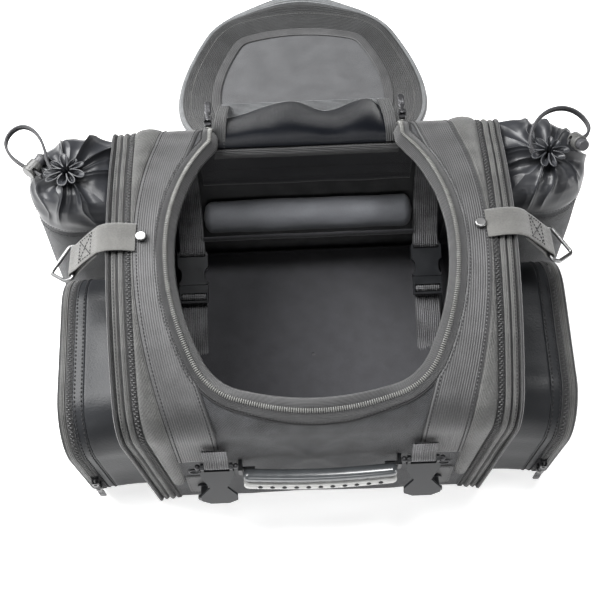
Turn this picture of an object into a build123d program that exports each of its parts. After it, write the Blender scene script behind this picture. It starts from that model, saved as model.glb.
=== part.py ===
from build123d import *
import os
from math import cos, pi, radians, sin, tan

# Motorcycle tail bag, thrown open: +X right, +Y to the hinge, +Z up,
# origin at the middle of the base on the ground. All sizes in mm.

# Body
WALL = 3.0
FOOT_FRONT = -147.0
FOOT_REAR = 166.0
CROWN = (12.0, 238.0)
FRONT_EAVE = (-153.0, 197.0)
REAR_EAVE = (174.0, 214.0)
FRONT_ROUND = 36.0
REAR_ROUND = 22.0
FOOT_ROUND = 10.0
SILL = 198.0
BASE_TOP = 12.0
FRONT_TOP = 172.0
REACH = 220.0

# Sides: each leans out at the top and splays out at the rear
SIDE_HALF = 151.5
LEAN = 0.065
SPLAY = 0.05
GUSSET = 19.0
SIDE_BOARD = 5.0
STACK = GUSSET + SIDE_BOARD

# Horseshoe opening and its zip
ARCH_RADIUS = 260.0
ARCH_SIDE = 123.0
ARCH_MID_Y = 15.0
ARCH_FRONT_Y = 119.0
ARCH_CORNER = 60.0
THROAT_HALF = 99.0
THROAT_Y = 150.0
ZIP_END_Y = 184.0
TEETH = 2.5
TAPE = 5.0
TAPE_THICK = 1.7
FREE_END_Z = 215.2
FREE_END_Y = 165.5

# Webbing
BAND_RADIUS = 538.0
BAND_WIDTH = 38.0
BAND_THICK = 1.6
BAND_MID = (-372.0, 30.0)
TAB_WIDTH = 30.0
TAB_Y = 24.0
TAB_THICK = 2.4

# Lid
HINGE_Y = 174.0
HINGE_Z = 204.0
LID_OPEN = 201.0
LID_LIFT = 2.6
LID_THICK = 3.0
LINING_THICK = 1.2
LID_FLAP = 9.0
LID_RAMP = (143.0, 226.6)
POUCH_THICK = 7.0
POUCH_HALF = 92.0
POUCH_START_Y = 72.0
POUCH_END_Y = 166.0

# Side pockets
POCKET_REAR = 58.0
POCKET_FRONT = -136.0
POCKET_FOOT = 8.0
POCKET_TOP = 158.0
POCKET_DEPTH = 52.0
POCKET_WALL = 3.0
POCKET_ZIP = 6.0
COVER_GAP = 0.6
COVER_DEPTH = 11.0
COVER_RIM = 5.0
COVER_TAPER = 42.0

# Bottle pockets
BOTTLE_X = 241.0
BOTTLE_Y = 120.0
BOTTLE_RADIUS = 45.0
BOTTLE_TOP = 172.0
BOTTLE_WALL = 2.5
NECK_RADIUS = 9.0
NECK_Z = 219.0
CORD = 3.0
STRAND_GAP = 3.6

# Front handle and strap buckles
HANDLE_HALF = 66.0
HANDLE_BOW = 6.0
HANDLE_Z = 110.0
HANDLE_PIVOT_Y = -158.0
HANDLE_MID_Y = -169.0
GRIP_TALL = 18.0
GRIP_DEEP = 13.0
BUCKLE_X = 97.0
BUCKLE_Y = -161.5
BUCKLE_Z = 128.0
BUCKLE_LEAN = 25.0
STUD_X = 117.0

right_side = Plane(origin=(SIDE_HALF, 0, 0), x_dir=(SPLAY, 1, 0), z_dir=(1, -SPLAY, -LEAN))
left_side = Plane(origin=(-SIDE_HALF, 0, 0), x_dir=(SPLAY, -1, 0), z_dir=(-1, -SPLAY, -LEAN))

os.makedirs("parts", exist_ok=True)


def save(piece, name):
    """Label one finished piece and write it as its own file."""
    piece.label = name
    export_step(piece, f"parts/{name}.step")


def save_pair(piece, name):
    """Write a right-hand piece and its mirror image on the left."""
    save(piece, f"{name}_right")
    save(mirror(piece, about=Plane.YZ), f"{name}_left")


def save_both(piece, name):
    """Write a right-hand piece and its mirror image together as one node."""
    solids = [*piece.solids(), *mirror(piece, about=Plane.YZ).solids()]
    save(Compound(children=solids), name)


def side_outline(grow):
    """Outline of the bag seen from its side, grown outwards by some amount."""
    with BuildSketch() as outline:
        with BuildLine():
            Line((FOOT_FRONT, 0), FRONT_EAVE)
            ThreePointArc(FRONT_EAVE, CROWN, REAR_EAVE)
            Polyline(REAR_EAVE, (FOOT_REAR, 0), (FOOT_FRONT, 0))
        make_face()
        fillet(outline.vertices().group_by(Axis.Y)[0], FOOT_ROUND)
        fillet(outline.vertices().sort_by_distance(FRONT_EAVE)[0], FRONT_ROUND)
        fillet(outline.vertices().sort_by_distance(REAR_EAVE)[0], REAR_ROUND)
        if grow:
            offset(amount=grow)
    return outline.sketch


def horseshoe(grow):
    """Plan of the opening: three equal arcs with round front corners, and a straight throat."""
    with BuildSketch() as plan:
        with Locations((-ARCH_SIDE, ARCH_MID_Y)):
            Circle(ARCH_RADIUS + grow)
        with Locations((ARCH_SIDE, ARCH_MID_Y)):
            Circle(ARCH_RADIUS + grow, mode=Mode.INTERSECT)
        with Locations((0, ARCH_FRONT_Y)):
            Circle(ARCH_RADIUS + grow, mode=Mode.INTERSECT)
        fillet(plan.vertices().sort_by(Axis.Y)[:2], ARCH_CORNER + grow)
        with Locations((0, THROAT_Y)):
            Rectangle(2 * (THROAT_HALF + grow), 120, align=(Align.CENTER, Align.MIN))
    return plan.sketch


def trim_sides(overhang=0.0):
    """Cut the piece being built back to both side planes."""
    for side in (right_side, left_side):
        split(bisect_by=side.offset(overhang), keep=Keep.BOTTOM)


def shell_panel(keep):
    """One sewn panel of the body: the part of the shell inside some boxes of the side view."""
    with BuildPart() as panel:
        with BuildSketch(Plane.YZ):
            add(side_outline(0))
            add(side_outline(-WALL), mode=Mode.SUBTRACT)
            with BuildSketch(mode=Mode.PRIVATE) as kept:
                for low, high in keep:
                    with Locations(((low[0] + high[0]) / 2, (low[1] + high[1]) / 2)):
                        Rectangle(high[0] - low[0], high[1] - low[1])
            add(kept.sketch, mode=Mode.INTERSECT)
        extrude(amount=REACH, both=True)
        trim_sides()
    return panel


# Body panels
base = shell_panel([((-200, -1), (200, BASE_TOP))])
save(base.part, "base_panel")

front = shell_panel([((-200, BASE_TOP), (0, FRONT_TOP))])
save(front.part, "front_wall")

rear = shell_panel([((0, BASE_TOP), (200, SILL))])
save(rear.part, "rear_wall")

with BuildPart() as top:
    add(shell_panel([((-200, FRONT_TOP), (100, 260)), ((100, SILL), (200, 260))]).part)
    with BuildSketch(Plane.XY.offset(150)):
        add(horseshoe(0))
    extrude(amount=110, mode=Mode.SUBTRACT)
save(top.part, "top_panel")

# Stiffeners and lining inside
FLOOR_BOARD_Z = 4.0
FLOOR_PAD_Z = 7.5
FLOOR_TOP = 12.5
with BuildPart() as floor_board:
    with BuildSketch(Plane.XY.offset(FLOOR_BOARD_Z)):
        with Locations((0, 9)):
            RectangleRounded(276, 286, 12)
    extrude(amount=3)
save(floor_board.part, "floor_board")

with BuildPart() as floor_pad:
    with BuildSketch(Plane.XY.offset(FLOOR_PAD_Z)):
        with Locations((0, 9)):
            RectangleRounded(268, 280, 10)
    extrude(amount=FLOOR_TOP - FLOOR_PAD_Z)
    fillet(floor_pad.edges().group_by(Axis.Z)[-1], 2)
save(floor_pad.part, "floor_pad")

FACING_Y = 166.5
FACING_LOW = 130.0
with BuildPart() as facing:
    with BuildSketch(Plane.XZ.offset(-FACING_Y)):
        with Locations((0, (FACING_LOW + SILL) / 2)):
            Rectangle(228, SILL - FACING_LOW)
    extrude(amount=2.2)
save(facing.part, "rear_facing")

ROLL_Y = 143.0
ROLL_Z = 86.0
ROLL_RADIUS = 21.0
with BuildPart() as roll:
    with BuildSketch(Plane.YZ):
        with Locations((ROLL_Y, ROLL_Z)):
            Ellipse(ROLL_RADIUS, ROLL_RADIUS + 7)
    extrude(amount=112, both=True)
    fillet(roll.edges(), 9)
save(roll.part, "lining_roll")

BINDING_TOP = 201.0
with BuildPart() as binding:
    with BuildSketch(Plane.YZ):
        with Locations((164.5, (SILL + BINDING_TOP) / 2)):
            RectangleRounded(17, BINDING_TOP - SILL, 1.2)
    extrude(amount=THROAT_HALF - 3, both=True)
save(binding.part, "hinge_binding")

# Main zip: chain and tape on the body side
with BuildPart() as chain:
    with BuildSketch(Plane.YZ):
        add(side_outline(TAPE_THICK))
        add(side_outline(0), mode=Mode.SUBTRACT)
    extrude(amount=REACH, both=True)
    with BuildSketch(Plane.XY.offset(150)):
        add(horseshoe(TAPE))
        add(horseshoe(-TEETH), mode=Mode.SUBTRACT)
        with Locations((0, ZIP_END_Y)):
            Rectangle(400, 200, align=(Align.CENTER, Align.MIN), mode=Mode.SUBTRACT)
    extrude(amount=110, mode=Mode.INTERSECT)
    with BuildSketch(Plane.XY.offset(SILL + 3)):
        Rectangle(500, 500)
    extrude(amount=60, mode=Mode.INTERSECT)
    with BuildSketch(Plane.XY.offset(FREE_END_Z)):
        for sign in (-1, 1):
            with Locations((sign * (THROAT_HALF + (TAPE - TEETH) / 2), FREE_END_Y)):
                Rectangle(TAPE + TEETH, 22, align=(Align.CENTER, Align.MIN))
    extrude(amount=TAPE_THICK)
save(chain.part, "main_zip")

# Side expansion: folded gusset, its own zip, side board and piping
with BuildPart() as gusset:
    with BuildSketch(right_side):
        add(side_outline(0))
        add(side_outline(-4), mode=Mode.SUBTRACT)
    extrude(amount=GUSSET)
    for start, width in ((6.0, 6.0), (12.5, 6.0)):
        with BuildSketch(right_side.offset(start)):
            add(side_outline(1.6))
            add(side_outline(-1), mode=Mode.SUBTRACT)
        extrude(amount=width)
    split(bisect_by=Plane.XY, keep=Keep.TOP)
save_both(gusset.part, "expansion_gussets")

with BuildPart() as expansion_zip:
    with BuildSketch(right_side.offset(0.6)):
        add(side_outline(1.5))
        add(side_outline(0), mode=Mode.SUBTRACT)
    extrude(amount=4.6)
    split(bisect_by=Plane.XY, keep=Keep.TOP)
save_both(expansion_zip.part, "expansion_zips")

with BuildPart() as board:
    with BuildSketch(right_side.offset(GUSSET)):
        add(side_outline(0))
    extrude(amount=SIDE_BOARD)
    split(bisect_by=Plane.XY, keep=Keep.TOP)
save_both(board.part, "side_boards")

with BuildPart() as piping:
    with BuildSketch(right_side.offset(GUSSET + 0.3)):
        add(side_outline(3.4))
        add(side_outline(0), mode=Mode.SUBTRACT)
    extrude(amount=SIDE_BOARD - 0.6)
    split(bisect_by=Plane.XY, keep=Keep.TOP)
save_both(piping.part, "rim_piping")

# Webbing bands over the body, front to rear
BAND_FOOT = 118.0
with BuildPart() as band:
    with BuildSketch(Plane.YZ):
        add(side_outline(BAND_THICK))
        add(side_outline(0), mode=Mode.SUBTRACT)
        with BuildSketch(mode=Mode.PRIVATE) as run:
            with Locations((-200, BAND_FOOT)):
                Rectangle(200, 200, align=Align.MIN)
            with Locations((0, 30)):
                Rectangle(200, 260, align=Align.MIN)
        add(run.sketch, mode=Mode.INTERSECT)
    extrude(amount=REACH)
    with BuildSketch(Plane.XY):
        with Locations(BAND_MID):
            Circle(BAND_RADIUS)
            Circle(BAND_RADIUS - BAND_WIDTH, mode=Mode.SUBTRACT)
        add(horseshoe(TAPE + 0.5), mode=Mode.SUBTRACT)
        with Locations((BAND_MID[0], 0)):
            Rectangle(abs(BAND_MID[0]) * 2, 2000, mode=Mode.SUBTRACT)
    extrude(amount=260, mode=Mode.INTERSECT)
    split(bisect_by=right_side.offset(-0.2), keep=Keep.BOTTOM)
save_both(band.part, "webbing_bands")

# Tabs that carry the side rings, and the rivets through them
RING_WIRE = 3.8
RING_X = 229.0
RING_Z = 203.0
TAB_LOOP = RING_WIRE / 2 + 0.5
TAB_CREST_Z = 243.6
with BuildPart() as tab:
    with BuildSketch(Plane.XZ.offset(-TAB_Y)):
        with BuildLine() as middle:
            Polyline((147, 241.6), (166, 241.6), (178, TAB_CREST_Z), (199, TAB_CREST_Z), (228.5, 207.5))
        trace(line_width=TAB_THICK)
    extrude(amount=TAB_WIDTH / 2, both=True)
    with BuildSketch(Plane.XZ.offset(-TAB_Y)):
        with Locations((RING_X, RING_Z)):
            Circle(TAB_LOOP + 3.6)
    extrude(amount=TAB_WIDTH / 2, both=True)
    with BuildSketch(Plane.XZ.offset(-TAB_Y)):
        with Locations((RING_X, RING_Z)):
            Circle(TAB_LOOP)
    extrude(amount=TAB_WIDTH / 2, both=True, mode=Mode.SUBTRACT)
save_both(tab.part, "ring_tabs")

with BuildPart() as rivet:
    with BuildSketch(Plane.XY.offset(242.85)):
        with Locations((158, TAB_Y)):
            Circle(5.4)
    extrude(amount=1.9)
    fillet(rivet.edges().group_by(Axis.Z)[-1], 1.4)
save_both(rivet.part, "tab_rivets")

# Side rings: a bar through the tab and three sides of round wire
RING_HALF = 19.0
RING_DEEP = 26.0
RING_DROOP = 22.0
ring_normal = (sin(radians(RING_DROOP)), 0, cos(radians(RING_DROOP)))
ring_plane = Plane(origin=(RING_X, TAB_Y, RING_Z), x_dir=(0, 1, 0), z_dir=ring_normal)
with BuildPart() as ring:
    with BuildLine(ring_plane) as wire:
        corners = [(-RING_HALF, 0), (RING_HALF, 0), (RING_HALF, -7), (-6, -RING_DEEP), (-RING_HALF, -9)]
        FilletPolyline(*corners, radius=3.6, close=True)
    start = Plane(origin=wire.line @ 0, z_dir=wire.line % 0)
    with BuildSketch(start):
        Circle(RING_WIRE / 2)
    sweep(path=wire.line)
save_pair(ring.part, "side_ring")


def pocket_outline(grow):
    """Outline of a side pocket on its board: tall round shoulders, smaller round feet."""
    with BuildSketch() as outline:
        middle = ((POCKET_FRONT + POCKET_REAR) / 2, (POCKET_FOOT + POCKET_TOP) / 2)
        with Locations(middle):
            Rectangle(POCKET_REAR - POCKET_FRONT, POCKET_TOP - POCKET_FOOT)
        fillet(outline.vertices().group_by(Axis.Y)[-1], 48)
        fillet(outline.vertices().group_by(Axis.Y)[0], 26)
        if grow:
            offset(amount=grow)
    return outline.sketch


# Side pockets: gusset, zip and clamshell cover
pocket_face = right_side.offset(STACK)
with BuildPart() as pocket:
    with BuildSketch(pocket_face):
        add(pocket_outline(0))
        add(pocket_outline(-POCKET_WALL), mode=Mode.SUBTRACT)
    extrude(amount=POCKET_DEPTH)
save_pair(pocket.part, "side_pocket")

with BuildPart() as pocket_zip:
    with BuildSketch(pocket_face.offset(POCKET_DEPTH)):
        add(pocket_outline(0.8))
        add(pocket_outline(-2.2), mode=Mode.SUBTRACT)
    extrude(amount=POCKET_ZIP)
save_both(pocket_zip.part, "pocket_zips")

COVER_START = STACK + POCKET_DEPTH + POCKET_ZIP + COVER_GAP
cover_face = right_side.offset(COVER_START)
with BuildPart() as cover:
    with BuildSketch(cover_face):
        add(pocket_outline(0.8))
    extrude(amount=COVER_RIM)
    with BuildSketch(cover_face.offset(COVER_RIM)):
        add(pocket_outline(0.8))
    extrude(amount=COVER_DEPTH - COVER_RIM, taper=COVER_TAPER)
    with BuildSketch(cover_face):
        add(pocket_outline(-POCKET_WALL - 5))
    extrude(amount=COVER_DEPTH - POCKET_WALL - 2, mode=Mode.SUBTRACT)
save_pair(cover.part, "pocket_cover")

# Zip sliders with a pin across them, and pulls that hang from the pin
SLIDER_WIDE = 7.0
SLIDER_LONG = 11.0
SLIDER_TALL = 3.0
PIN_RISE = 2.8
PIN_RADIUS = 0.9
PULL_REACH = 26.0


def slider_at(place):
    """A slider in a local frame: x across the zip, y along it and z away from it."""
    with BuildPart() as slider:
        with BuildSketch(place.offset(0.25)):
            RectangleRounded(SLIDER_WIDE, SLIDER_LONG, 2.2)
        extrude(amount=SLIDER_TALL)
        with BuildSketch(place.offset(SLIDER_TALL)):
            with GridLocations(SLIDER_WIDE - 1.3, 0, 2, 1):
                Rectangle(1.3, 5)
        extrude(amount=PIN_RISE + 1.2)
        middle = place.from_local_coords((0, 0, SLIDER_TALL + PIN_RISE))
        with BuildSketch(Plane(origin=middle, z_dir=place.x_dir)):
            Circle(PIN_RADIUS)
        extrude(amount=SLIDER_WIDE / 2 - 0.4, both=True)
    return slider.part


def pull_at(place, lift, reach=PULL_REACH):
    """A pull round the slider's pin, lifted by an angle from the slider's face."""
    middle = place.from_local_coords((0, 0, SLIDER_TALL + PIN_RISE))
    hang = Plane(origin=middle, x_dir=place.x_dir, z_dir=place.z_dir).rotated((-lift, 0, 0))
    across = Plane(origin=middle, z_dir=place.x_dir)
    with BuildPart() as pull:
        with BuildSketch(hang):
            with Locations((0, -reach / 2)):
                Rectangle(3.6, reach)
            with Locations((0, -reach + 6)):
                RectangleRounded(7.4, 13, 2.4)
        extrude(amount=0.8, both=True)
        with BuildSketch(across):
            Circle(PIN_RADIUS + 1.3)
        extrude(amount=1.8, both=True)
        with BuildSketch(across):
            Circle(PIN_RADIUS + 0.3)
        extrude(amount=4, both=True, mode=Mode.SUBTRACT)
    return pull.part


# Two sliders meet on the front of each side pocket's zip
zip_face = pocket_face.offset(POCKET_DEPTH + POCKET_ZIP / 2)
PULL_LIFTS = {"lower": 4.0, "upper": 34.0}
SLIDER_HEIGHTS = {"lower": 45.0, "upper": 58.0}
pocket_sliders = []
for place_name, height in SLIDER_HEIGHTS.items():
    spot = zip_face.from_local_coords((POCKET_FRONT - 0.8, height, 0))
    slider_frame = Plane(origin=spot, x_dir=(1, -SPLAY, 0), z_dir=(-SPLAY, -1, 0))
    pocket_sliders.append(slider_at(slider_frame))
    save_pair(pull_at(slider_frame, PULL_LIFTS[place_name]), f"pocket_pull_{place_name}")
    print("pocket pull pivot", place_name, slider_frame.from_local_coords((0, 0, SLIDER_TALL + PIN_RISE)))

# Main zip: two sliders parked on the free ends of the zip, at the rear
MAIN_SLIDER = (100.25, 179.0, 217.1)
slider_frame = Plane(origin=MAIN_SLIDER, x_dir=(1, 0, 0), z_dir=(0, 0, 1)).rotated((0, 0, 180))
save_both(Compound(children=[*pocket_sliders, slider_at(slider_frame)]), "zip_sliders")
save_pair(pull_at(slider_frame, -7, PULL_REACH - 2.5), "main_pull")
print("main pull pivot", slider_frame.from_local_coords((0, 0, SLIDER_TALL + PIN_RISE)))

# Bottle pockets with gathered collars
with BuildPart() as bottle:
    for grow, bottom in ((0.0, 6.0), (-BOTTLE_WALL, 9.0)):
        with BuildSketch(Plane.XY.offset(bottom)):
            with Locations((BOTTLE_X, BOTTLE_Y)):
                Circle(BOTTLE_RADIUS + grow)
                Rectangle(90, 2 * (BOTTLE_RADIUS + grow), align=(Align.MAX, Align.CENTER))
        extrude(amount=BOTTLE_TOP - bottom, mode=Mode.SUBTRACT if grow else Mode.ADD)
    split(bisect_by=right_side.offset(STACK + 0.2), keep=Keep.TOP)
save_pair(bottle.part, "bottle_pocket")

collar_outside = [(45, 172.1), (46, 188), (40, 203), (26, 212), (12, 215.5)]
collar_outside += [(NECK_RADIUS, NECK_Z), (10, 223), (17, 229)]
collar_inside = [(15, 230), (6, 223), (4, NECK_Z), (9, 213), (25, 209.5)]
collar_inside += [(38, 201), (43.4, 188), (42.5, 172.1)]
with BuildPart() as collar:
    with BuildSketch(Plane.XZ.offset(-BOTTLE_Y)):
        with BuildLine():
            Polyline(*[(BOTTLE_X + r, z) for r, z in collar_outside + collar_inside], close=True)
        make_face()
    revolve(axis=Axis((BOTTLE_X, BOTTLE_Y, 0), (0, 0, 1)))
save_pair(collar.part, "bottle_collar")

# Shock cords: two strands from each collar's neck, through the cord lock, to a short tail
left_cord = [
    (-254.8, 122, 219), (-260, 129, 221), (-262, 141, 226), (-267, 154, 231), (-276, 165, 233),
    (-288, 171, 231), (-300, 167, 227), (-306, 156, 222), (-301, 144.5, 218.5), (-290, 134, 217),
    (-277.5, 125.8, 216.4), (-266, 117.5, 216),
]
right_cord = [
    (229.8, 115.1, 218.2), (224, 121, 220.5), (223, 133, 226), (229, 147, 232), (241, 158, 236),
    (258, 163, 236), (272, 160, 233), (281, 151, 230), (284.5, 140, 228), (279, 131.5, 226.6),
    (269, 128.3, 226), (260.5, 126.3, 226.2),
]


def cord_tube(route, rise):
    """A strand: straight runs joined by tangent arcs as large as the runs allow."""
    points = [Vector(x, y, z + rise) for x, y, z in route]
    radii = []
    for before, here, after in zip(points, points[1:], points[2:]):
        turn = radians((here - before).get_angle(after - here))
        shorter = min((here - before).length, (after - here).length)
        radii.append(0.45 * shorter / tan(turn / 2))
    with BuildPart() as strand:
        with BuildLine() as path:
            FilletPolyline(*points, radius=radii)
        with BuildSketch(Plane(origin=path.line @ 0, z_dir=path.line % 0)):
            Circle(CORD / 2)
        sweep(path=path.line)
    length = path.wire().length
    ideal = pi * (CORD / 2) ** 2 * length
    print("cord", round(length, 1), "radii", [round(r, 1) for r in radii])
    print("volume ratio", round(strand.part.volume / ideal, 4))
    return strand.part


for side, route in (("left", left_cord), ("right", right_cord)):
    strands = [cord_tube(route, rise) for rise in (0.0, STRAND_GAP)]
    save(Compound(children=[strand.solid() for strand in strands]), f"shock_cord_{side}")

# Cord locks: a barrel with a cross slot for the cords, and a sprung button
LOCK_RADIUS = 7.6
LOCK_BORE = 6.0
LOCK_FOOT = -8.5
LOCK_MOUTH = 6.0
LOCK_SLOT = -3.5
BUTTON_TOP = 13.0
lock_aims = {"left": (0.6, 0.8, 0.0), "right": (0.21, -0.85, 0.48)}
for side, route in (("left", left_cord), ("right", right_cord)):
    run = (Vector(*route[-1]) - Vector(*route[-3])).normalized()
    aim = Vector(*lock_aims[side])
    aim = (aim - run * aim.dot(run)).normalized()
    middle = Vector(*route[-2]) + Vector(0, 0, STRAND_GAP / 2) - aim * LOCK_SLOT
    barrel_frame = Plane(origin=middle, x_dir=run, z_dir=aim)
    with BuildPart() as lock:
        with BuildSketch(barrel_frame.offset(LOCK_FOOT)):
            Circle(LOCK_RADIUS)
        extrude(amount=LOCK_MOUTH - LOCK_FOOT)
        fillet(lock.edges(), 1.2)
        with BuildSketch(barrel_frame.offset(LOCK_FOOT + 2.4)):
            Circle(LOCK_BORE)
        extrude(amount=20, mode=Mode.SUBTRACT)
        slot_frame = Plane(origin=barrel_frame.from_local_coords((0, 0, LOCK_SLOT)), x_dir=aim, z_dir=run)
        with BuildSketch(slot_frame):
            RectangleRounded(5.0, 12.4, 2.2)
        extrude(amount=20, both=True, mode=Mode.SUBTRACT)
    save(lock.part, f"cord_lock_{side}")
    with BuildPart() as button:
        with BuildSketch(barrel_frame.offset(1.9)):
            Circle(LOCK_BORE - 0.25)
        extrude(amount=BUTTON_TOP - 1.9)
        fillet(button.edges().sort_by(Axis(middle, aim))[-1], 1.2)
    save(button.part, f"lock_button_{side}")
    print("lock", side, "middle", middle, "aim", aim)


# Lid: modelled shut over the opening, then turned back about its hinge
hinge_line = Axis((0, HINGE_Y, HINGE_Z), (1, 0, 0))


def lid_outline(low, high):
    """Side view of one layer of the shut lid, between two heights above the bag's top."""
    with BuildSketch() as outline:
        add(side_outline(high))
        add(side_outline(low), mode=Mode.SUBTRACT)
        with Locations((-200, FRONT_TOP + 8)):
            Rectangle(200 + LID_RAMP[0], 100, align=Align.MIN, mode=Mode.INTERSECT)
        rise = low - LID_LIFT
        with BuildLine():
            inner = Line((LID_RAMP[0], LID_RAMP[1] + rise), (HINGE_Y, HINGE_Z + rise))
            top = rise + high - low
            outer = Line((HINGE_Y, HINGE_Z + top), (LID_RAMP[0], LID_RAMP[1] + top))
            Line(inner @ 1, outer @ 0)
            Line(outer @ 1, inner @ 0)
        make_face()
    return outline.sketch


def lid_plan(grow):
    """Plan of the shut lid: the horseshoe with a narrow neck at the hinge."""
    with BuildSketch() as plan:
        add(horseshoe(grow))
        with Locations((0, LID_RAMP[0])):
            Rectangle(500, 300, align=(Align.CENTER, Align.MIN), mode=Mode.SUBTRACT)
            Rectangle(2 * (THROAT_HALF - 6), 100, align=(Align.CENTER, Align.MIN))
    return plan.sketch


def lid_layer(low, high, outside, inside=None):
    """A layer of the lid, as a full panel or as a ring."""
    with BuildPart() as layer:
        with BuildSketch(Plane.YZ):
            add(lid_outline(low, high))
        extrude(amount=REACH, both=True)
        with BuildSketch(Plane.XY.offset(150)):
            add(lid_plan(outside))
            if inside is not None:
                add(lid_plan(inside), mode=Mode.SUBTRACT)
                with Locations((0, LID_RAMP[0])):
                    Rectangle(500, 300, align=(Align.CENTER, Align.MIN), mode=Mode.SUBTRACT)
        extrude(amount=110, mode=Mode.INTERSECT)
    return layer.part


def open_lid(piece):
    """Turn a piece of the shut lid back to where it lies open."""
    return piece.rotate(hinge_line, -LID_OPEN)


lid_shut = {
    "lid_panel": lid_layer(LID_LIFT, LID_LIFT + LID_THICK, LID_FLAP),
    "lid_lining": lid_layer(LID_LIFT - LINING_THICK, LID_LIFT - 0.02, -11),
    "lid_zip": lid_layer(0.4, LID_LIFT - 0.02, -3.4, -9),
}
with BuildPart() as pouch:
    with BuildSketch(Plane.YZ):
        add(lid_outline(LID_LIFT - LINING_THICK - POUCH_THICK, LID_LIFT - LINING_THICK - 0.05))
        with Locations((POUCH_START_Y, 150)):
            Rectangle(POUCH_END_Y - POUCH_START_Y, 120, align=Align.MIN, mode=Mode.INTERSECT)
    extrude(amount=POUCH_HALF, both=True)
lid_shut["document_pouch"] = pouch.part
for name, piece in lid_shut.items():
    save(open_lid(piece), name)

# Straps inside, with side-release buckles
STRAP_X = 132.0
STRAP_HALF = 14.0
STRAP_THICK = 1.5
BUCKLE_SLOPE = 25.0
SOCKET_LONG = 38.0
SOCKET_HALF = 17.0
SOCKET_THICK = 9.0
CAVITY_HALF = 13.4
CAVITY_THICK = 5.2
PRONG_REACH = 24.0
# local frame of a buckle: x across, y along the strap towards the front, z away from the floor
buckle_normal = (0, -sin(radians(BUCKLE_SLOPE)), cos(radians(BUCKLE_SLOPE)))
buckle_frame = Plane(origin=(STRAP_X, 118, 68), x_dir=(-1, 0, 0), z_dir=buckle_normal)
with BuildPart() as socket:
    with BuildSketch(buckle_frame.offset(-SOCKET_THICK / 2)):
        with Locations((0, SOCKET_LONG / 2)):
            RectangleRounded(2 * SOCKET_HALF, SOCKET_LONG, 4)
        with Locations((0, 5)):
            Rectangle(29, 3.2, mode=Mode.SUBTRACT)
        with Locations((-SOCKET_HALF, 27), (SOCKET_HALF, 27)):
            Ellipse(4.5, 8.5, mode=Mode.SUBTRACT)
    extrude(amount=SOCKET_THICK)
    with BuildSketch(buckle_frame.offset(-CAVITY_THICK / 2)):
        with Locations((0, 9.5)):
            Rectangle(2 * CAVITY_HALF, SOCKET_LONG, align=(Align.CENTER, Align.MIN))
    extrude(amount=CAVITY_THICK, mode=Mode.SUBTRACT)
save_pair(socket.part, "buckle_socket")

with BuildPart() as prong:
    with BuildSketch(buckle_frame.offset(-3.9)):
        with Locations((0, SOCKET_LONG + 0.5)):
            Rectangle(32, 20, align=(Align.CENTER, Align.MIN))
        with Locations((0, SOCKET_LONG + 11)):
            Rectangle(28.6, 3.2, mode=Mode.SUBTRACT)
        with Locations((0, SOCKET_LONG + 16.4)):
            Rectangle(28.6, 3.2, mode=Mode.SUBTRACT)
    extrude(amount=7.8)
    with BuildSketch(buckle_frame.offset(-2.2)):
        with Locations((0, SOCKET_LONG + 2)):
            Rectangle(5, PRONG_REACH, align=(Align.CENTER, Align.MAX))
        for sign in (-1, 1):
            with Locations((sign * 10.4, SOCKET_LONG + 2)):
                Rectangle(4.6, PRONG_REACH, align=(Align.CENTER, Align.MAX))
            with Locations((sign * 10.2, SOCKET_LONG - 15)):
                Rectangle(5.6, 9)
    extrude(amount=4.4)
save_pair(prong.part, "buckle_prong")

with BuildPart() as upper_strap:
    with BuildSketch(Plane.YZ.offset(STRAP_X)):
        with BuildLine():
            Polyline((166.4, 170), (160.5, 132), (143, 92), (124.5, 72.5))
        trace(line_width=STRAP_THICK)
    extrude(amount=STRAP_HALF, both=True)
with BuildPart() as lower_strap:
    with BuildSketch(Plane.YZ.offset(STRAP_X)):
        with BuildLine():
            Polyline((77, 43.2), (27, 19.9), (12, 15.0), (-6, 13.8))
        trace(line_width=STRAP_THICK)
    extrude(amount=STRAP_HALF, both=True)
save_both(upper_strap.part, "inner_straps_upper")
save_both(lower_strap.part, "inner_straps_lower")

# Front handle: a bowed grip on two pins
WALL_Y = -150.8
EAR_X = 74.0
with BuildPart() as ears:
    for sign in (-1, 1):
        with BuildSketch(Plane.YZ.offset(sign * EAR_X)):
            with Locations((WALL_Y, HANDLE_Z)):
                Rectangle(WALL_Y - HANDLE_PIVOT_Y + 4, 12, align=(Align.MAX, Align.CENTER))
        extrude(amount=sign * 3.6)
        with BuildSketch(Plane.YZ.offset(sign * (EAR_X - 12))):
            with Locations((HANDLE_PIVOT_Y, HANDLE_Z)):
                Circle(2)
        extrude(amount=sign * 12)
save(ears.part, "handle_mounts")

with BuildPart() as grip:
    with BuildLine() as bow:
        left_end = (-HANDLE_HALF, HANDLE_MID_Y, HANDLE_Z)
        right_end = (HANDLE_HALF, HANDLE_MID_Y, HANDLE_Z)
        ThreePointArc(left_end, (0, HANDLE_MID_Y - HANDLE_BOW, HANDLE_Z), right_end)
    with BuildSketch(Plane(origin=bow.line @ 0, x_dir=(0, 0, 1), z_dir=bow.line % 0)):
        RectangleRounded(GRIP_TALL, GRIP_DEEP, 5.5)
    sweep(path=bow.line)
    for sign in (-1, 1):
        with BuildSketch(Plane.YZ.offset(sign * 62)):
            with Locations((HANDLE_PIVOT_Y, HANDLE_Z)):
                Circle(4.6)
            with Locations(((HANDLE_PIVOT_Y + HANDLE_MID_Y) / 2, HANDLE_Z)):
                Rectangle(HANDLE_PIVOT_Y - HANDLE_MID_Y, 9.2)
            with Locations((HANDLE_PIVOT_Y, HANDLE_Z)):
                Circle(2.35, mode=Mode.SUBTRACT)
        extrude(amount=sign * 11)
save(grip.part, "handle_grip")

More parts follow.
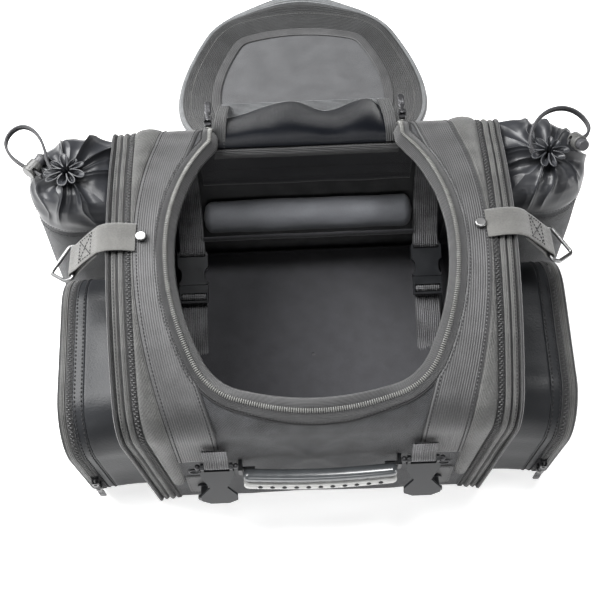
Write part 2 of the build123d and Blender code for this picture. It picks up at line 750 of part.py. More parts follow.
# Strap buckles on the front: a bar with ball ends, held by a webbing tab, and a waisted plate
BAR_RADIUS = 1.6
BAR_HALF = 18.0
PLATE_LONG = 48.0
with BuildPart() as bar:
    with BuildSketch(Plane(origin=(BUCKLE_X, BUCKLE_Y, BUCKLE_Z), x_dir=(1, 0, 0), z_dir=(0, -1, 0))):
        Rectangle(2 * BAR_HALF, 2 * BAR_RADIUS)
        with Locations((-BAR_HALF, 0), (BAR_HALF, 0)):
            Circle(2.8)
        Rectangle(60, 10, align=(Align.CENTER, Align.MAX), mode=Mode.SUBTRACT)
    revolve(axis=Axis((0, BUCKLE_Y, BUCKLE_Z), (1, 0, 0)))
save_both(bar.part, "buckle_bars")

with BuildPart() as bar_tab:
    with BuildSketch(Plane.YZ.offset(BUCKLE_X)):
        with Locations((BUCKLE_Y, BUCKLE_Z)):
            Circle(BAR_RADIUS + 2.4)
        with BuildLine():
            Polyline((-160, BUCKLE_Z + 2.5), (-156.6, BUCKLE_Z + 8), (-155.2, 158))
        trace(line_width=2.4)
        with Locations((BUCKLE_Y, BUCKLE_Z)):
            Circle(BAR_RADIUS + 0.2, mode=Mode.SUBTRACT)
    extrude(amount=11.5, both=True)
save_both(bar_tab.part, "bar_tabs")

plate_normal = (0, -cos(radians(BUCKLE_LEAN)), sin(radians(BUCKLE_LEAN)))
plate_frame = Plane(origin=(BUCKLE_X, BUCKLE_Y, BUCKLE_Z), x_dir=(1, 0, 0), z_dir=plate_normal)
with BuildPart() as plate:
    with BuildSketch(plate_frame.offset(-1.4)):
        with BuildLine():
            half = [(0, -5.4), (16, -5.4), (16, -11), (8.2, -27), (17.5, -38), (17.5, -44)]
            half += [(9, -PLATE_LONG), (0, -PLATE_LONG)]
            outline = Polyline(*half)
            mirror(outline, about=Plane.YZ)
        make_face()
    extrude(amount=2.8)
    for sign in (-1, 1):
        with BuildSketch(Plane.YZ.offset(BUCKLE_X + sign * 12.1)):
            with Locations((BUCKLE_Y, BUCKLE_Z)):
                Circle(BAR_RADIUS + 1.9)
        extrude(amount=sign * 2.9)
        with BuildSketch(plate_frame.offset(-1.4)):
            with Locations((sign * 13.55, 0)):
                Rectangle(2.9, 7, align=(Align.CENTER, Align.MAX))
        extrude(amount=2.8)
    with BuildSketch(Plane.YZ.offset(BUCKLE_X)):
        with Locations((BUCKLE_Y, BUCKLE_Z)):
            Circle(BAR_RADIUS + 0.35)
    extrude(amount=20, both=True, mode=Mode.SUBTRACT)
save_pair(plate.part, "buckle_plate")

# Corner patches with lashing studs
STUD_Z = 47.0
STUD_RADIUS = 3.6
PATCH_THICK = 1.8
wall_tilt = (FRONT_EAVE[0] - FOOT_FRONT) / FRONT_EAVE[1]
patch_middle = (STUD_X, FOOT_FRONT + wall_tilt * STUD_Z, STUD_Z)
patch_frame = Plane(origin=patch_middle, x_dir=(1, 0, 0), z_dir=(0, -1, wall_tilt))
with BuildPart() as patch:
    with BuildSketch(patch_frame.offset(0.1)):
        RectangleRounded(34, 52, 5)
    extrude(amount=PATCH_THICK)
save_both(patch.part, "corner_patches")

with BuildPart() as stud:
    with BuildSketch(patch_frame.offset(PATCH_THICK + 0.15)):
        Circle(6.6)
    extrude(amount=2.4)
    with BuildSketch(patch_frame.offset(PATCH_THICK + 2.5)):
        Circle(STUD_RADIUS)
    extrude(amount=9)
    with BuildSketch(patch_frame.offset(PATCH_THICK + 11.4)):
        Circle(6.2)
    extrude(amount=4)
    fillet(stud.edges().group_by(Axis.Y)[0], 1.6)
save_both(stud.part, "lashing_studs")
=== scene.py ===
import math
import bmesh
import bpy
import numpy as np
from mathutils import Matrix, Vector, noise
from mathutils.kdtree import KDTree


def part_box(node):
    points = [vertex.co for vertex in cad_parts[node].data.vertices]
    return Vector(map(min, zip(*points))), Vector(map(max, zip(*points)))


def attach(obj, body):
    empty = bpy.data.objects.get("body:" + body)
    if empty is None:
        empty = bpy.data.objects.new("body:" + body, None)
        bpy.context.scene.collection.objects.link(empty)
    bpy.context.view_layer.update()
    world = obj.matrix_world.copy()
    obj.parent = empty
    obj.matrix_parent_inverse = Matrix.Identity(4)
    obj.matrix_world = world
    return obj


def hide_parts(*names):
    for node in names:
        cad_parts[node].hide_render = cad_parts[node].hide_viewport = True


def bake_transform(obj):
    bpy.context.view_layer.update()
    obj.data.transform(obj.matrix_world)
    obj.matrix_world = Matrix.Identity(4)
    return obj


# Motorcycle tail bag, thrown open. Shapes are worked out in millimetres and made in metres.
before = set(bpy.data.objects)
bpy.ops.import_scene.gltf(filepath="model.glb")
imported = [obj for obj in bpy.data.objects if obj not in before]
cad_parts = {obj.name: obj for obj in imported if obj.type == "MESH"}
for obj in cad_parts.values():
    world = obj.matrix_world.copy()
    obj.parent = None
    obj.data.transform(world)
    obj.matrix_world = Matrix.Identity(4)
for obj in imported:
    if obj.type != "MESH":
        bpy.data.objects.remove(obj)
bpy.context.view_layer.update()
MM = 0.001
TAU = 2 * math.pi
WELD_GAP = 2e-5


def box(node):
    """Lowest and highest corner of a CAD node, in millimetres."""
    low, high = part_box(node)
    return np.array(low) / MM, np.array(high) / MM


# ---------------------------------------------------------------- driving shape
# Side planes lean out at the top and splay out at the rear
SIDE_HALF = 151.5
LEAN = 0.065
SPLAY = 0.05
side_out = np.array([1, -SPLAY, -LEAN]) / math.sqrt(1 + SPLAY**2 + LEAN**2)
side_along = np.array([SPLAY, 1, 0]) / math.sqrt(1 + SPLAY**2)
side_up = np.cross(side_out, side_along)

# Side view of the body: the crown's height is read from the CAD, the rest repeats its drawing
CROWN_Z = box("top_panel")[1][2]
FOOT_FRONT = -147.0
FOOT_REAR = 166.0
FRONT_EAVE = (-153.0, 197.0)
REAR_EAVE = (177.0, 220.0)
ARCH_MID = (31.14, -191.54)
ARCH_R = CROWN_Z - ARCH_MID[1]
SILL = 198.0

# Plan of the opening
ARCH_RADIUS = 260.0
ARCH_SIDE = 123.0
ARCH_MID_Y = 15.0
ARCH_FRONT_Y = 119.0
ARCH_CORNER = 60.0
THROAT_HALF = 99.0

# Layers of a side, counted out from its plane
STACK = 24.0
POCKET_DEPTH = 52.0
ZIP_DEEP = 6.0
COVER_START = STACK + POCKET_DEPTH + ZIP_DEEP + 0.6
COVER_DEEP = 11.0
POCKET_FRONT, POCKET_REAR = -136.0, 58.0
POCKET_FOOT, POCKET_TOP = 8.0, 158.0

HINGE = (174.0, 204.0)
LID_OPEN = math.radians(-201)


# ---------------------------------------------------------------- mesh helpers
def unit(v):
    """Vectors of length one."""
    v = np.asarray(v, float)
    return v / np.maximum(np.linalg.norm(v, axis=-1, keepdims=True), 1e-12)


def rounded(corners, radii, step=1.5):
    """A closed outline through corners, each rounded by its own radius."""
    corners = [np.array(c, float) for c in corners]
    points = []
    for k, c in enumerate(corners):
        a = unit(corners[k - 1] - c)
        b = unit(corners[(k + 1) % len(corners)] - c)
        half = math.acos(max(-1.0, min(1.0, float(a @ b)))) / 2
        if radii[k] == 0 or half > 1.55:
            points.append(c)
            continue
        centre = c + unit(a + b) * radii[k] / math.sin(half)
        start = c + a * radii[k] / math.tan(half) - centre
        end = c + b * radii[k] / math.tan(half) - centre
        turn = math.pi - 2 * half
        count = max(3, int(radii[k] * turn / step))
        for t in np.linspace(0, 1, count + 1):
            arc = start * math.sin((1 - t) * turn) + end * math.sin(t * turn)
            points.append(centre + arc / math.sin(turn))
    return np.array(points)


def resample(points, count, closed=False):
    """The same line with count evenly spaced points."""
    points = np.asarray(points, float)
    if closed:
        points = np.vstack([points, points[:1]])
    run = travel(points)
    at = np.linspace(0, run[-1], count + 1 if closed else count)
    made = np.stack([np.interp(at, run, points[:, k]) for k in range(points.shape[1])], 1)
    return made[:-1] if closed else made


def length_of(points, closed=False):
    """Length of a line of points."""
    points = np.asarray(points, float)
    total = np.linalg.norm(np.diff(points, axis=0), axis=1).sum()
    return total + (np.linalg.norm(points[0] - points[-1]) if closed else 0)


def travel(points):
    """Distance travelled along a line at each of its points."""
    return np.concatenate([[0], np.cumsum(np.linalg.norm(np.diff(points, axis=0), axis=1))])


def pairs(first, second):
    """Every value of first with every value of second, as an n x m array of pairs."""
    return np.stack(np.meshgrid(first, second, indexing="ij"), -1)


def turned_left(directions):
    """Directions in a plane, each turned left by a quarter."""
    return np.stack([-directions[:, 1], directions[:, 0]], 1)


def smoothed(path, times):
    """A line with its ends kept and the rest evened out. It changes the array that it is given."""
    for _ in range(times):
        path[1:-1] = (path[:-2] + 2 * path[1:-1] + path[2:]) / 4
    return path


def circle(u, v, radius, count):
    """Points round a circle, for a section."""
    angles = np.linspace(0, TAU, count, endpoint=False)
    return [(u + radius * math.cos(a), v + radius * math.sin(a)) for a in angles]


def add_object(name, data):
    """A new object in the scene."""
    obj = bpy.data.objects.new(name, data)
    bpy.context.scene.collection.objects.link(obj)
    return obj


def mesh_of(name, points, faces):
    """A Blender mesh in metres from points in millimetres."""
    mesh = bpy.data.meshes.new(name)
    mesh.from_pydata((np.asarray(points) * MM).tolist(), [], np.asarray(faces).tolist())
    return mesh


def tangents(points, closed=False):
    """The way along a line at each of its points."""
    points = np.asarray(points, float)
    if closed:
        return unit(np.roll(points, -1, 0) - np.roll(points, 1, 0))
    return unit(np.gradient(points, axis=0))


def grid(points, uv=None, wrap_i=False, wrap_j=False):
    """Quads over an n x m array of points. uv has one more row or column where the array wraps."""
    n, m = points.shape[:2]
    i, j = np.meshgrid(np.arange(n if wrap_i else n - 1), np.arange(m if wrap_j else m - 1), indexing="ij")
    corners = [(i, j), (i + 1, j), (i + 1, j + 1), (i, j + 1)]
    faces = np.stack([(a % n) * m + b % m for a, b in corners], -1).reshape(-1, 4)
    if uv is None:
        uv = pairs(np.arange(n + 1.0), np.arange(m + 1.0))
    coords = np.stack([uv[a, b] for a, b in corners], 2).reshape(-1, 2)
    return points.reshape(-1, 3), faces, coords


def join(parts):
    """Several (points, faces, uv) as one."""
    points, faces, coords, base = [], [], [], 0
    for p, f, c in parts:
        points.append(p)
        faces.append(np.asarray(f) + base)
        coords.append(c)
        base += len(p)
    return np.vstack(points), np.vstack(faces), np.vstack(coords)


def piece(name, mesh_data, material, body="bag", nodes=(), slot=None, solid=0.0, weld=False, level=0):
    """One visible piece from (points in mm, quads, uv in mm)."""
    points, faces, coords = mesh_data
    mesh = mesh_of(name, points, faces)
    layer = mesh.uv_layers.new(name="UVMap")
    layer.data.foreach_set("uv", np.asarray(coords, np.float32).ravel())
    mesh.polygons.foreach_set("use_smooth", [True] * len(mesh.polygons))
    if weld:
        made = bmesh.new()
        made.from_mesh(mesh)
        bmesh.ops.remove_doubles(made, verts=made.verts, dist=WELD_GAP)
        bmesh.ops.recalc_face_normals(made, faces=made.faces)
        made.to_mesh(mesh)
        made.free()
    obj = add_object(name, mesh)
    mesh.materials.append(material)
    if solid:
        thick = obj.modifiers.new("thickness", "SOLIDIFY")
        thick.thickness = abs(solid) * MM
        thick.offset = math.copysign(1, solid)
    if level:
        obj.modifiers.new("smooth", "SUBSURF").levels = level
        obj.modifiers["smooth"].render_levels = level
    if body:
        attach(obj, body)
    if nodes:
        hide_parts(*nodes)
    return obj


def sweep(path, a_dirs, b_dirs, section, closed=True, ring=False):
    """A section (a, b) carried along a path. ring: the section is closed."""
    section = np.asarray(section, float)
    path = np.asarray(path, float)
    points = path[:, None] + a_dirs[:, None] * section[None, :, :1] + b_dirs[:, None] * section[None, :, 1:]
    ends = np.vstack([path, path[:1]]) if closed else path
    loop = np.vstack([section, section[:1]]) if ring else section
    return grid(points, pairs(travel(ends), travel(loop)), wrap_i=closed, wrap_j=ring)


def tube(path, radius, sides=10, closed=False):
    """A round tube along a path, with its ends shut by shrinking rings."""
    path = np.asarray(path, float)
    t = tangents(path, closed)
    up = np.zeros_like(t)
    seed = np.array([0, 0, 1.0]) if abs(t[0][2]) < 0.9 else np.array([1.0, 0, 0])
    for k in range(len(t)):
        seed = unit(seed - t[k] * (seed @ t[k]))
        up[k] = seed
    side = np.cross(t, up)
    radii = np.full(len(path), radius, float) if np.isscalar(radius) else np.asarray(radius, float)
    if not closed:
        path = np.vstack([path[0] - t[0] * radii[0] * 0.3, path, path[-1] + t[-1] * radii[-1] * 0.3])
        up, side = (np.vstack([v[:1], v, v[-1:]]) for v in (up, side))
        radii = np.concatenate([[radii[0] * 0.05], radii, [radii[-1] * 0.05]])
    angle = np.linspace(0, TAU, sides, endpoint=False)
    ring = up[:, None] * np.cos(angle)[None, :, None] + side[:, None] * np.sin(angle)[None, :, None]
    points = path[:, None] + ring * radii[:, None, None]
    return grid(points, None, wrap_i=closed, wrap_j=True)


def beads(places, along, across, up, size, around=8, rings=5):
    """Small rounded pips, one at each place, half-sizes (along, across, up)."""
    lat = np.linspace(-math.pi / 2 + 0.25, math.pi / 2 - 0.25, rings)
    lon = np.linspace(0, TAU, around, endpoint=False)
    high, wide = np.sin(lat)[:, None], np.cos(lat)[:, None]
    shape = np.stack([high * np.ones(around), wide * np.cos(lon), wide * np.sin(lon)], -1)
    block, faces, uv = grid(shape, None, wrap_j=True)
    points = (
        np.asarray(places)[:, None]
        + np.asarray(along)[:, None] * block[None, :, :1] * size[0]
        + np.asarray(across)[:, None] * block[None, :, 1:2] * size[1]
        + np.asarray(up)[:, None] * block[None, :, 2:] * size[2]
    )
    count = len(places)
    shift = np.arange(count)[:, None, None] * len(block)
    return points.reshape(-1, 3), (faces[None] + shift).reshape(-1, 4), np.tile(uv, (count, 1))


def every(path, pitch, closed=False):
    """Evenly spaced points along a path, about pitch apart."""
    return resample(path, max(2, int(length_of(path, closed) / pitch)), closed)


def stitches(path, normals, pitch=3.4, long=2.2, thin=0.45, lift=0.15, closed=False):
    """A row of sewn stitches along a path."""
    count = max(2, int(length_of(path, closed) / pitch))
    at = resample(np.hstack([path, normals]), count, closed)
    spots, up = at[:, :3], unit(at[:, 3:])
    along = tangents(spots, closed)
    return beads(spots + up * lift, along, np.cross(up, along), up, (long / 2, thin, thin), 6, 4)


def wobble(x, y, z, size, seed=0.0):
    """Smooth noise from -1 to 1 at one point, with a wavelength in mm."""
    return noise.noise(Vector((x / size + seed, y / size - seed, z / size + 0.37 * seed)))


def wobbles(points, size, seed=0.0):
    """The same noise at an array of points."""
    flat = np.asarray(points, float).reshape(-1, 3)
    made = np.array([wobble(p[0], p[1], p[2], size, seed) for p in flat])
    return made.reshape(np.asarray(points).shape[:-1])


def hump(value, middle, width):
    """A smooth rise to 1 at the middle and back to 0."""
    return np.exp(-(((value - middle) / width) ** 2))


def mirrored(mesh_data):
    """The same mesh on the other side of x = 0, faces still outward."""
    points, faces, coords = mesh_data
    coords = coords.reshape(-1, 4, 2)[:, ::-1].reshape(-1, 2)
    return points * np.array([-1, 1, 1]), np.asarray(faces)[:, ::-1], coords


def both(mesh_data):
    """Mesh data drawn for the right, with its mirror image."""
    return join([mesh_data, mirrored(mesh_data)])


SIDES = (("right", 1), ("left", -1))


def sided(mesh_data, sign):
    """Mesh data drawn for the right, as it is or mirrored to the left."""
    return mesh_data if sign > 0 else mirrored(mesh_data)


# ---------------------------------------------------------------- materials
class Shader:
    """A principled material with short calls for its node graph."""

    def __init__(self, name, colour, rough, metal=0.0, **sockets):
        self.material = bpy.data.materials.new(name)
        self.material.use_nodes = True
        self.tree = self.material.node_tree
        self.bsdf = self.tree.nodes["Principled BSDF"]
        self.colour = colour
        self.set("Base Color", (*colour, 1))
        self.set("Roughness", rough)
        self.set("Metallic", metal)
        for key, value in sockets.items():
            self.set(key.replace("_", " "), value)
        self.height = None

    def set(self, socket, value):
        self.bsdf.inputs[socket].default_value = value

    def node(self, kind, **values):
        made = self.tree.nodes.new(kind)
        for key, value in values.items():
            setattr(made, key, value)
        return made

    def link(self, a, b):
        self.tree.links.new(a, b)

    def math(self, operation, a, b=None):
        made = self.node("ShaderNodeMath", operation=operation)
        for slot, value in enumerate((a, b)):
            if value is None:
                continue
            if isinstance(value, (int, float)):
                made.inputs[slot].default_value = value
            else:
                self.link(value, made.inputs[slot])
        return made.outputs[0]

    def coords(self, kind="UV"):
        made = self.node("ShaderNodeTexCoord")
        split = self.node("ShaderNodeSeparateXYZ")
        self.link(made.outputs[kind], split.inputs[0])
        return made.outputs[kind], split.outputs

    def wave(self, value, pitch):
        return self.math("SINE", self.math("MULTIPLY", value, TAU / pitch))

    def noise(self, vector, scale, detail=3.0, rough=0.5):
        made = self.node("ShaderNodeTexNoise")
        made.inputs["Scale"].default_value = scale
        made.inputs["Detail"].default_value = detail
        made.inputs["Roughness"].default_value = rough
        self.link(vector, made.inputs["Vector"])
        return made.outputs["Fac"]

    def raise_by(self, value, amount):
        """Add value x amount to the bump height."""
        term = self.math("MULTIPLY", value, amount)
        self.height = term if self.height is None else self.math("ADD", self.height, term)

    def bump(self, strength=1.0, distance=0.001):
        made = self.node("ShaderNodeBump")
        made.inputs["Strength"].default_value = strength
        made.inputs["Distance"].default_value = distance
        self.link(self.height, made.inputs["Height"])
        self.link(made.outputs[0], self.bsdf.inputs["Normal"])

    def shade(self, value, dark, light):
        """Colour from dark to light, as multiples of the base colour, by a 0 to 1 value."""
        ramp = self.node("ShaderNodeValToRGB")
        ramp.color_ramp.elements[0].position = 0.25
        ramp.color_ramp.elements[1].position = 0.75
        for element, times in zip(ramp.color_ramp.elements, (dark, light)):
            element.color = (*(min(1.0, c * times) for c in self.colour), 1)
        self.link(value, ramp.inputs[0])
        self.link(ramp.outputs[0], self.bsdf.inputs["Base Color"])

    def shade_by(self, weave, weave_share, cloud, fuzz, fuzz_share, spread):
        """Colour by the weave, broad clouds and fine fuzz together."""
        threads = self.math("MULTIPLY", weave, weave_share)
        specks = self.math("MULTIPLY", self.math("SUBTRACT", fuzz, 0.5), fuzz_share)
        self.shade(self.math("ADD", threads, self.math("ADD", cloud, specks)), *spread)

    def gloss(self, value, low, high):
        made = self.node("ShaderNodeMapRange")
        made.inputs["To Min"].default_value = low
        made.inputs["To Max"].default_value = high
        self.link(value, made.inputs[0])
        self.link(made.outputs[0], self.bsdf.inputs["Roughness"])


def woven(
    name, colour, pitch=1.5, depth=0.35, rough=0.62, twill=False, sheen=0.35, spread=(0.75, 1.3), patch=18.0
):
    """Woven cloth: threads across each other, or in diagonal twill lines."""
    made = Shader(name, colour, rough, Sheen_Weight=sheen, Sheen_Roughness=0.45, Specular_IOR_Level=0.35)
    uv, (u, v, _) = made.coords()
    if twill:
        lines = made.wave(made.math("ADD", made.math("MULTIPLY", u, 0.8), v), pitch)
        cross = made.wave(made.math("SUBTRACT", u, v), pitch * 0.6)
        weave = made.math("ADD", made.math("MULTIPLY", lines, 0.7), made.math("MULTIPLY", cross, 0.3))
    else:
        weave = made.math("MULTIPLY", made.wave(u, pitch), made.wave(v, pitch))
    cloud = made.noise(uv, 1 / patch, 4.0)
    fuzz = made.noise(uv, 0.55, 2.0)
    made.raise_by(weave, depth)
    made.raise_by(fuzz, depth * 0.7)
    made.bump(0.8)
    made.shade_by(weave, 0.22, cloud, fuzz, 0.6, spread)
    return made.material


def ribbed(
    name, colour, rib=2.4, depth=0.45, rough=0.5, across=True, cross=1.1, sheen=0.5, spread=(0.7, 1.35)
):
    """Webbing or binding tape: ribs along its length, fine threads across."""
    made = Shader(name, colour, rough, Sheen_Weight=sheen, Sheen_Roughness=0.4, Specular_IOR_Level=0.4)
    uv, (u, v, _) = made.coords()
    ribs = made.wave(v if across else u, rib)
    threads = made.wave(u if across else v, cross)
    fuzz = made.noise(uv, 0.6, 2.0)
    cloud = made.noise(uv, 1 / 26, 3.0)
    made.raise_by(ribs, depth)
    made.raise_by(threads, depth * 0.35)
    made.raise_by(fuzz, depth * 0.4)
    made.bump(0.9)
    made.shade_by(ribs, 0.2, cloud, fuzz, 0.7, spread)
    return made.material


def moulded(name, colour, rough=0.4, grain=0.12, coat=0.0, metal=0.0, spread=(0.85, 1.15)):
    """Plastic or metal: faint grain, with gloss that varies a little."""
    made = Shader(name, colour, rough, metal, Coat_Weight=coat, Coat_Roughness=0.12)
    where, _ = made.coords("Object")
    fine = made.noise(where, 2600.0, 2.0)
    broad = made.noise(where, 70.0, 4.0)
    made.raise_by(fine, grain)
    made.raise_by(broad, grain * 0.8)
    made.bump(0.5, 0.0004)
    made.gloss(broad, max(0.03, rough - 0.1), rough + 0.12)
    made.shade(broad, *spread)
    return made.material


def coated(name, colour, rough=0.26, coat=0.5, diamond=0.0, grain=0.25, spread=(0.8, 1.2), spec=0.5):
    """Vinyl or tarpaulin: glossy, with leather grain or a diamond scrim under the coat."""
    made = Shader(name, colour, rough, Coat_Weight=coat, Coat_Roughness=0.16, Specular_IOR_Level=spec)
    uv, (u, v, _) = made.coords()
    cells = made.node("ShaderNodeTexVoronoi")
    cells.inputs["Scale"].default_value = 0.55
    made.link(uv, cells.inputs["Vector"])
    made.raise_by(cells.outputs["Distance"], grain)
    if diamond:
        one = made.wave(made.math("ADD", u, v), 3.0)
        two = made.wave(made.math("SUBTRACT", u, v), 3.0)
        made.raise_by(made.math("MULTIPLY", one, two), diamond)
    cloud = made.noise(uv, 1 / 40, 4.0)
    made.raise_by(cloud, 1.2)
    made.bump(0.45)
    made.gloss(cloud, rough - 0.05, rough + 0.14)
    made.shade(cloud, *spread)
    return made.material


nylon = woven(
    "ballistic_nylon", (0.034, 0.035, 0.038), pitch=1.9, depth=0.5, twill=True, sheen=0.12,
    spread=(0.5, 1.6)
)
nylon_fine = woven("pack_cloth", (0.028, 0.029, 0.032), pitch=1.6, depth=0.35, sheen=0.2, spread=(0.6, 1.4))
lining_black = woven(
    "black_lining", (0.027, 0.027, 0.031), pitch=0.9, depth=0.12, rough=0.45, spread=(0.8, 1.3)
)
lining_grey = woven(
    "grey_lining", (0.125, 0.13, 0.142), pitch=0.9, depth=0.08, rough=0.42, sheen=0.15, spread=(0.8, 1.15),
    patch=30.0
)
lid_lining = woven(
    "lid_lining", (0.068, 0.069, 0.072), pitch=0.9, depth=0.1, rough=0.5, sheen=0.1, spread=(0.8, 1.2),
    patch=30.0
)
webbing = ribbed(
    "ribbed_webbing", (0.043, 0.043, 0.044), rib=2.1, depth=0.14, sheen=0.15, spread=(0.65, 1.4)
)
tab_webbing = ribbed("tab_webbing", (0.1, 0.099, 0.094), rib=1.1, depth=0.2, sheen=0.3)
strap_webbing = ribbed(
    "strap_webbing", (0.1, 0.1, 0.104), rib=2.2, cross=1.6, depth=0.6, sheen=0.2, spread=(0.5, 1.8)
)
lid_band = ribbed("lid_band", (0.015, 0.0155, 0.016), rib=2.3, depth=0.4, sheen=0.1, spread=(0.5, 1.6))
binding = ribbed("binding_tape", (0.024, 0.024, 0.025), rib=1.4, depth=0.3, sheen=0.25)
tape_cloth = ribbed("zip_tape", (0.026, 0.026, 0.027), rib=1.2, depth=0.25, sheen=0.2)
fold_cloth = ribbed(
    "gusset_fold", (0.066, 0.066, 0.064), rib=1.3, depth=0.3, sheen=0.15, spread=(0.55, 1.6)
)
pale_binding = ribbed("pale_binding", (0.11, 0.114, 0.118), rib=1.3, depth=0.2, sheen=0.2)
satin = coated("satin", (0.017, 0.018, 0.021), rough=0.37, coat=0.03, grain=0.04, spread=(0.7, 1.5))
vinyl = coated("vinyl", (0.016, 0.017, 0.019), rough=0.4, coat=0.03, spec=0.22)
tarpaulin = coated(
    "tarpaulin", (0.003, 0.0035, 0.005), rough=0.27, coat=0.0, diamond=0.16, grain=0.0, spec=0.1
)
coil = moulded("zip_coil", (0.05, 0.05, 0.05), rough=0.3)
# the open coils are a lighter grey than the closed ones
coil_pale = moulded("open_coil", (0.15, 0.15, 0.143), rough=0.25)
# black thread for the stitches; the same material also makes the thin dark tubes and pips of painted shade in
# grooves, band edges, fold valleys and the grip's holes
thread_and_shade = moulded("thread_and_shade", (0.01, 0.01, 0.011), rough=0.7)
thread_grey = moulded("grey_thread", (0.075, 0.075, 0.075), rough=0.6)
steel = moulded("ring_steel", (0.24, 0.24, 0.24), rough=0.36, metal=1.0)
gunmetal = moulded("gunmetal", (0.045, 0.045, 0.048), rough=0.3, metal=0.6)
buckle_plastic = moulded("buckle_plastic", (0.014, 0.015, 0.017), rough=0.33, grain=0.3)
lock_body = moulded("lock_body", (0.07, 0.07, 0.068), rough=0.3, grain=0.2)
lock_cap = moulded("lock_cap", (0.05, 0.05, 0.054), rough=0.28, grain=0.2)
cord_sheath = woven("cord_sheath", (0.02, 0.02, 0.023), pitch=1.0, depth=0.3, rough=0.5)
grip_plastic = moulded("grip_plastic", (0.07, 0.075, 0.08), rough=0.2, coat=0.7, grain=0.15)
grip_pale = moulded("grip_pale", (0.42, 0.42, 0.41), rough=0.25, coat=0.4)


# ---------------------------------------------------------------- the body's skin
PROFILE_STEP = 2.0


def side_view(grow=0.0, step=PROFILE_STEP):
    """Side view of the body as a closed outline, from the middle of the base to the front foot and on."""
    start = math.atan2(FRONT_EAVE[1] - ARCH_MID[1], FRONT_EAVE[0] - ARCH_MID[0])
    stop = math.atan2(REAR_EAVE[1] - ARCH_MID[1], REAR_EAVE[0] - ARCH_MID[0])
    margin = 30.0 / ARCH_R
    angles = np.linspace(start - margin, stop + margin, 60)
    arch = [(ARCH_MID[0] + ARCH_R * math.cos(a), ARCH_MID[1] + ARCH_R * math.sin(a)) for a in angles]
    corners = [(0, 0), (FOOT_FRONT, 0), FRONT_EAVE, *arch, REAR_EAVE, (FOOT_REAR, 0)]
    radii = [0, 10, 36, *[0] * len(arch), 22, 10]
    points = rounded(corners, radii)
    count = int(length_of(points, True) / step)
    points = resample(points, count, True)
    if grow:
        points = points + turned_left(tangents(points, True)) * grow
    return points


profile = np.vstack([side_view(), side_view()[:1]])
profile_run = travel(profile)
profile_out = turned_left(tangents(side_view(), True))
profile_out = np.vstack([profile_out, profile_out[:1]])
TOTAL = profile_run[-1]


def run_at(where):
    """Distance along the profile of the point nearest to (y, z)."""
    gaps = np.linalg.norm(profile - np.array(where), axis=1)
    return profile_run[int(np.argmin(gaps))]


RUN_EAVE = run_at((-151.5, 150))
RUN_FRONT_FOOT = run_at((FOOT_FRONT - 0.5, 12))
RUN_SILL = run_at((173, SILL))
top_runs = list(np.arange(RUN_EAVE, RUN_SILL, PROFILE_STEP))
top_ys = [float(np.interp(r, profile_run, profile[:, 0])) for r in top_runs]


def run_of_y(y):
    """Distance along the profile of a point on top of the body, from its y."""
    return float(np.interp(y, top_ys, top_runs))


def soften(x, run):
    """How far the cloth stands off its pattern: soft folds and unevenness, fading at the seams."""
    half = side_half(run)
    edge = np.clip((half - np.abs(x)) / 30, 0, 1)
    front = hump(run, (RUN_EAVE + RUN_FRONT_FOOT) / 2 + 30, 75)
    made = wobble(x, run, 3.0, 70.0, 1.3) * 1.3 + wobble(x, run, 9.0, 31.0, 4.1) * 0.5
    inside = np.clip((105 - abs(x)) / 30, 0, 1)
    made += 3.2 * front * hump(x - 0.55 * (run - RUN_EAVE), 6, 13) * inside
    made += 2.6 * front * hump(x + 0.75 * (run - RUN_EAVE), -28, 11) * inside
    made -= 2.2 * front * hump(x, 0, 60)
    return made * edge


def side_half(run):
    """Half the body's width at a distance along the profile."""
    y = np.interp(run, profile_run, profile[:, 0])
    z = np.interp(run, profile_run, profile[:, 1])
    return SIDE_HALF + SPLAY * y + LEAN * z


def body_point(x, run, lift=0.0, soft=1.0):
    """A point on the body's skin and the way out of it there."""
    run = run % TOTAL
    y = float(np.interp(run, profile_run, profile[:, 0]))
    z = float(np.interp(run, profile_run, profile[:, 1]))
    ny = float(np.interp(run, profile_run, profile_out[:, 0]))
    nz = float(np.interp(run, profile_run, profile_out[:, 1]))
    rise = lift + soft * soften(x, run)
    return np.array([x, y + ny * rise, max(z + nz * rise, 0.4)]), unit([0, ny, nz])


def on_body(places, lift=0.0, soft=1.0):
    """Points and normals for a list of (x, run)."""
    made = [body_point(x, r, lift, soft) for x, r in places]
    return np.array([m[0] for m in made]), np.array([m[1] for m in made])


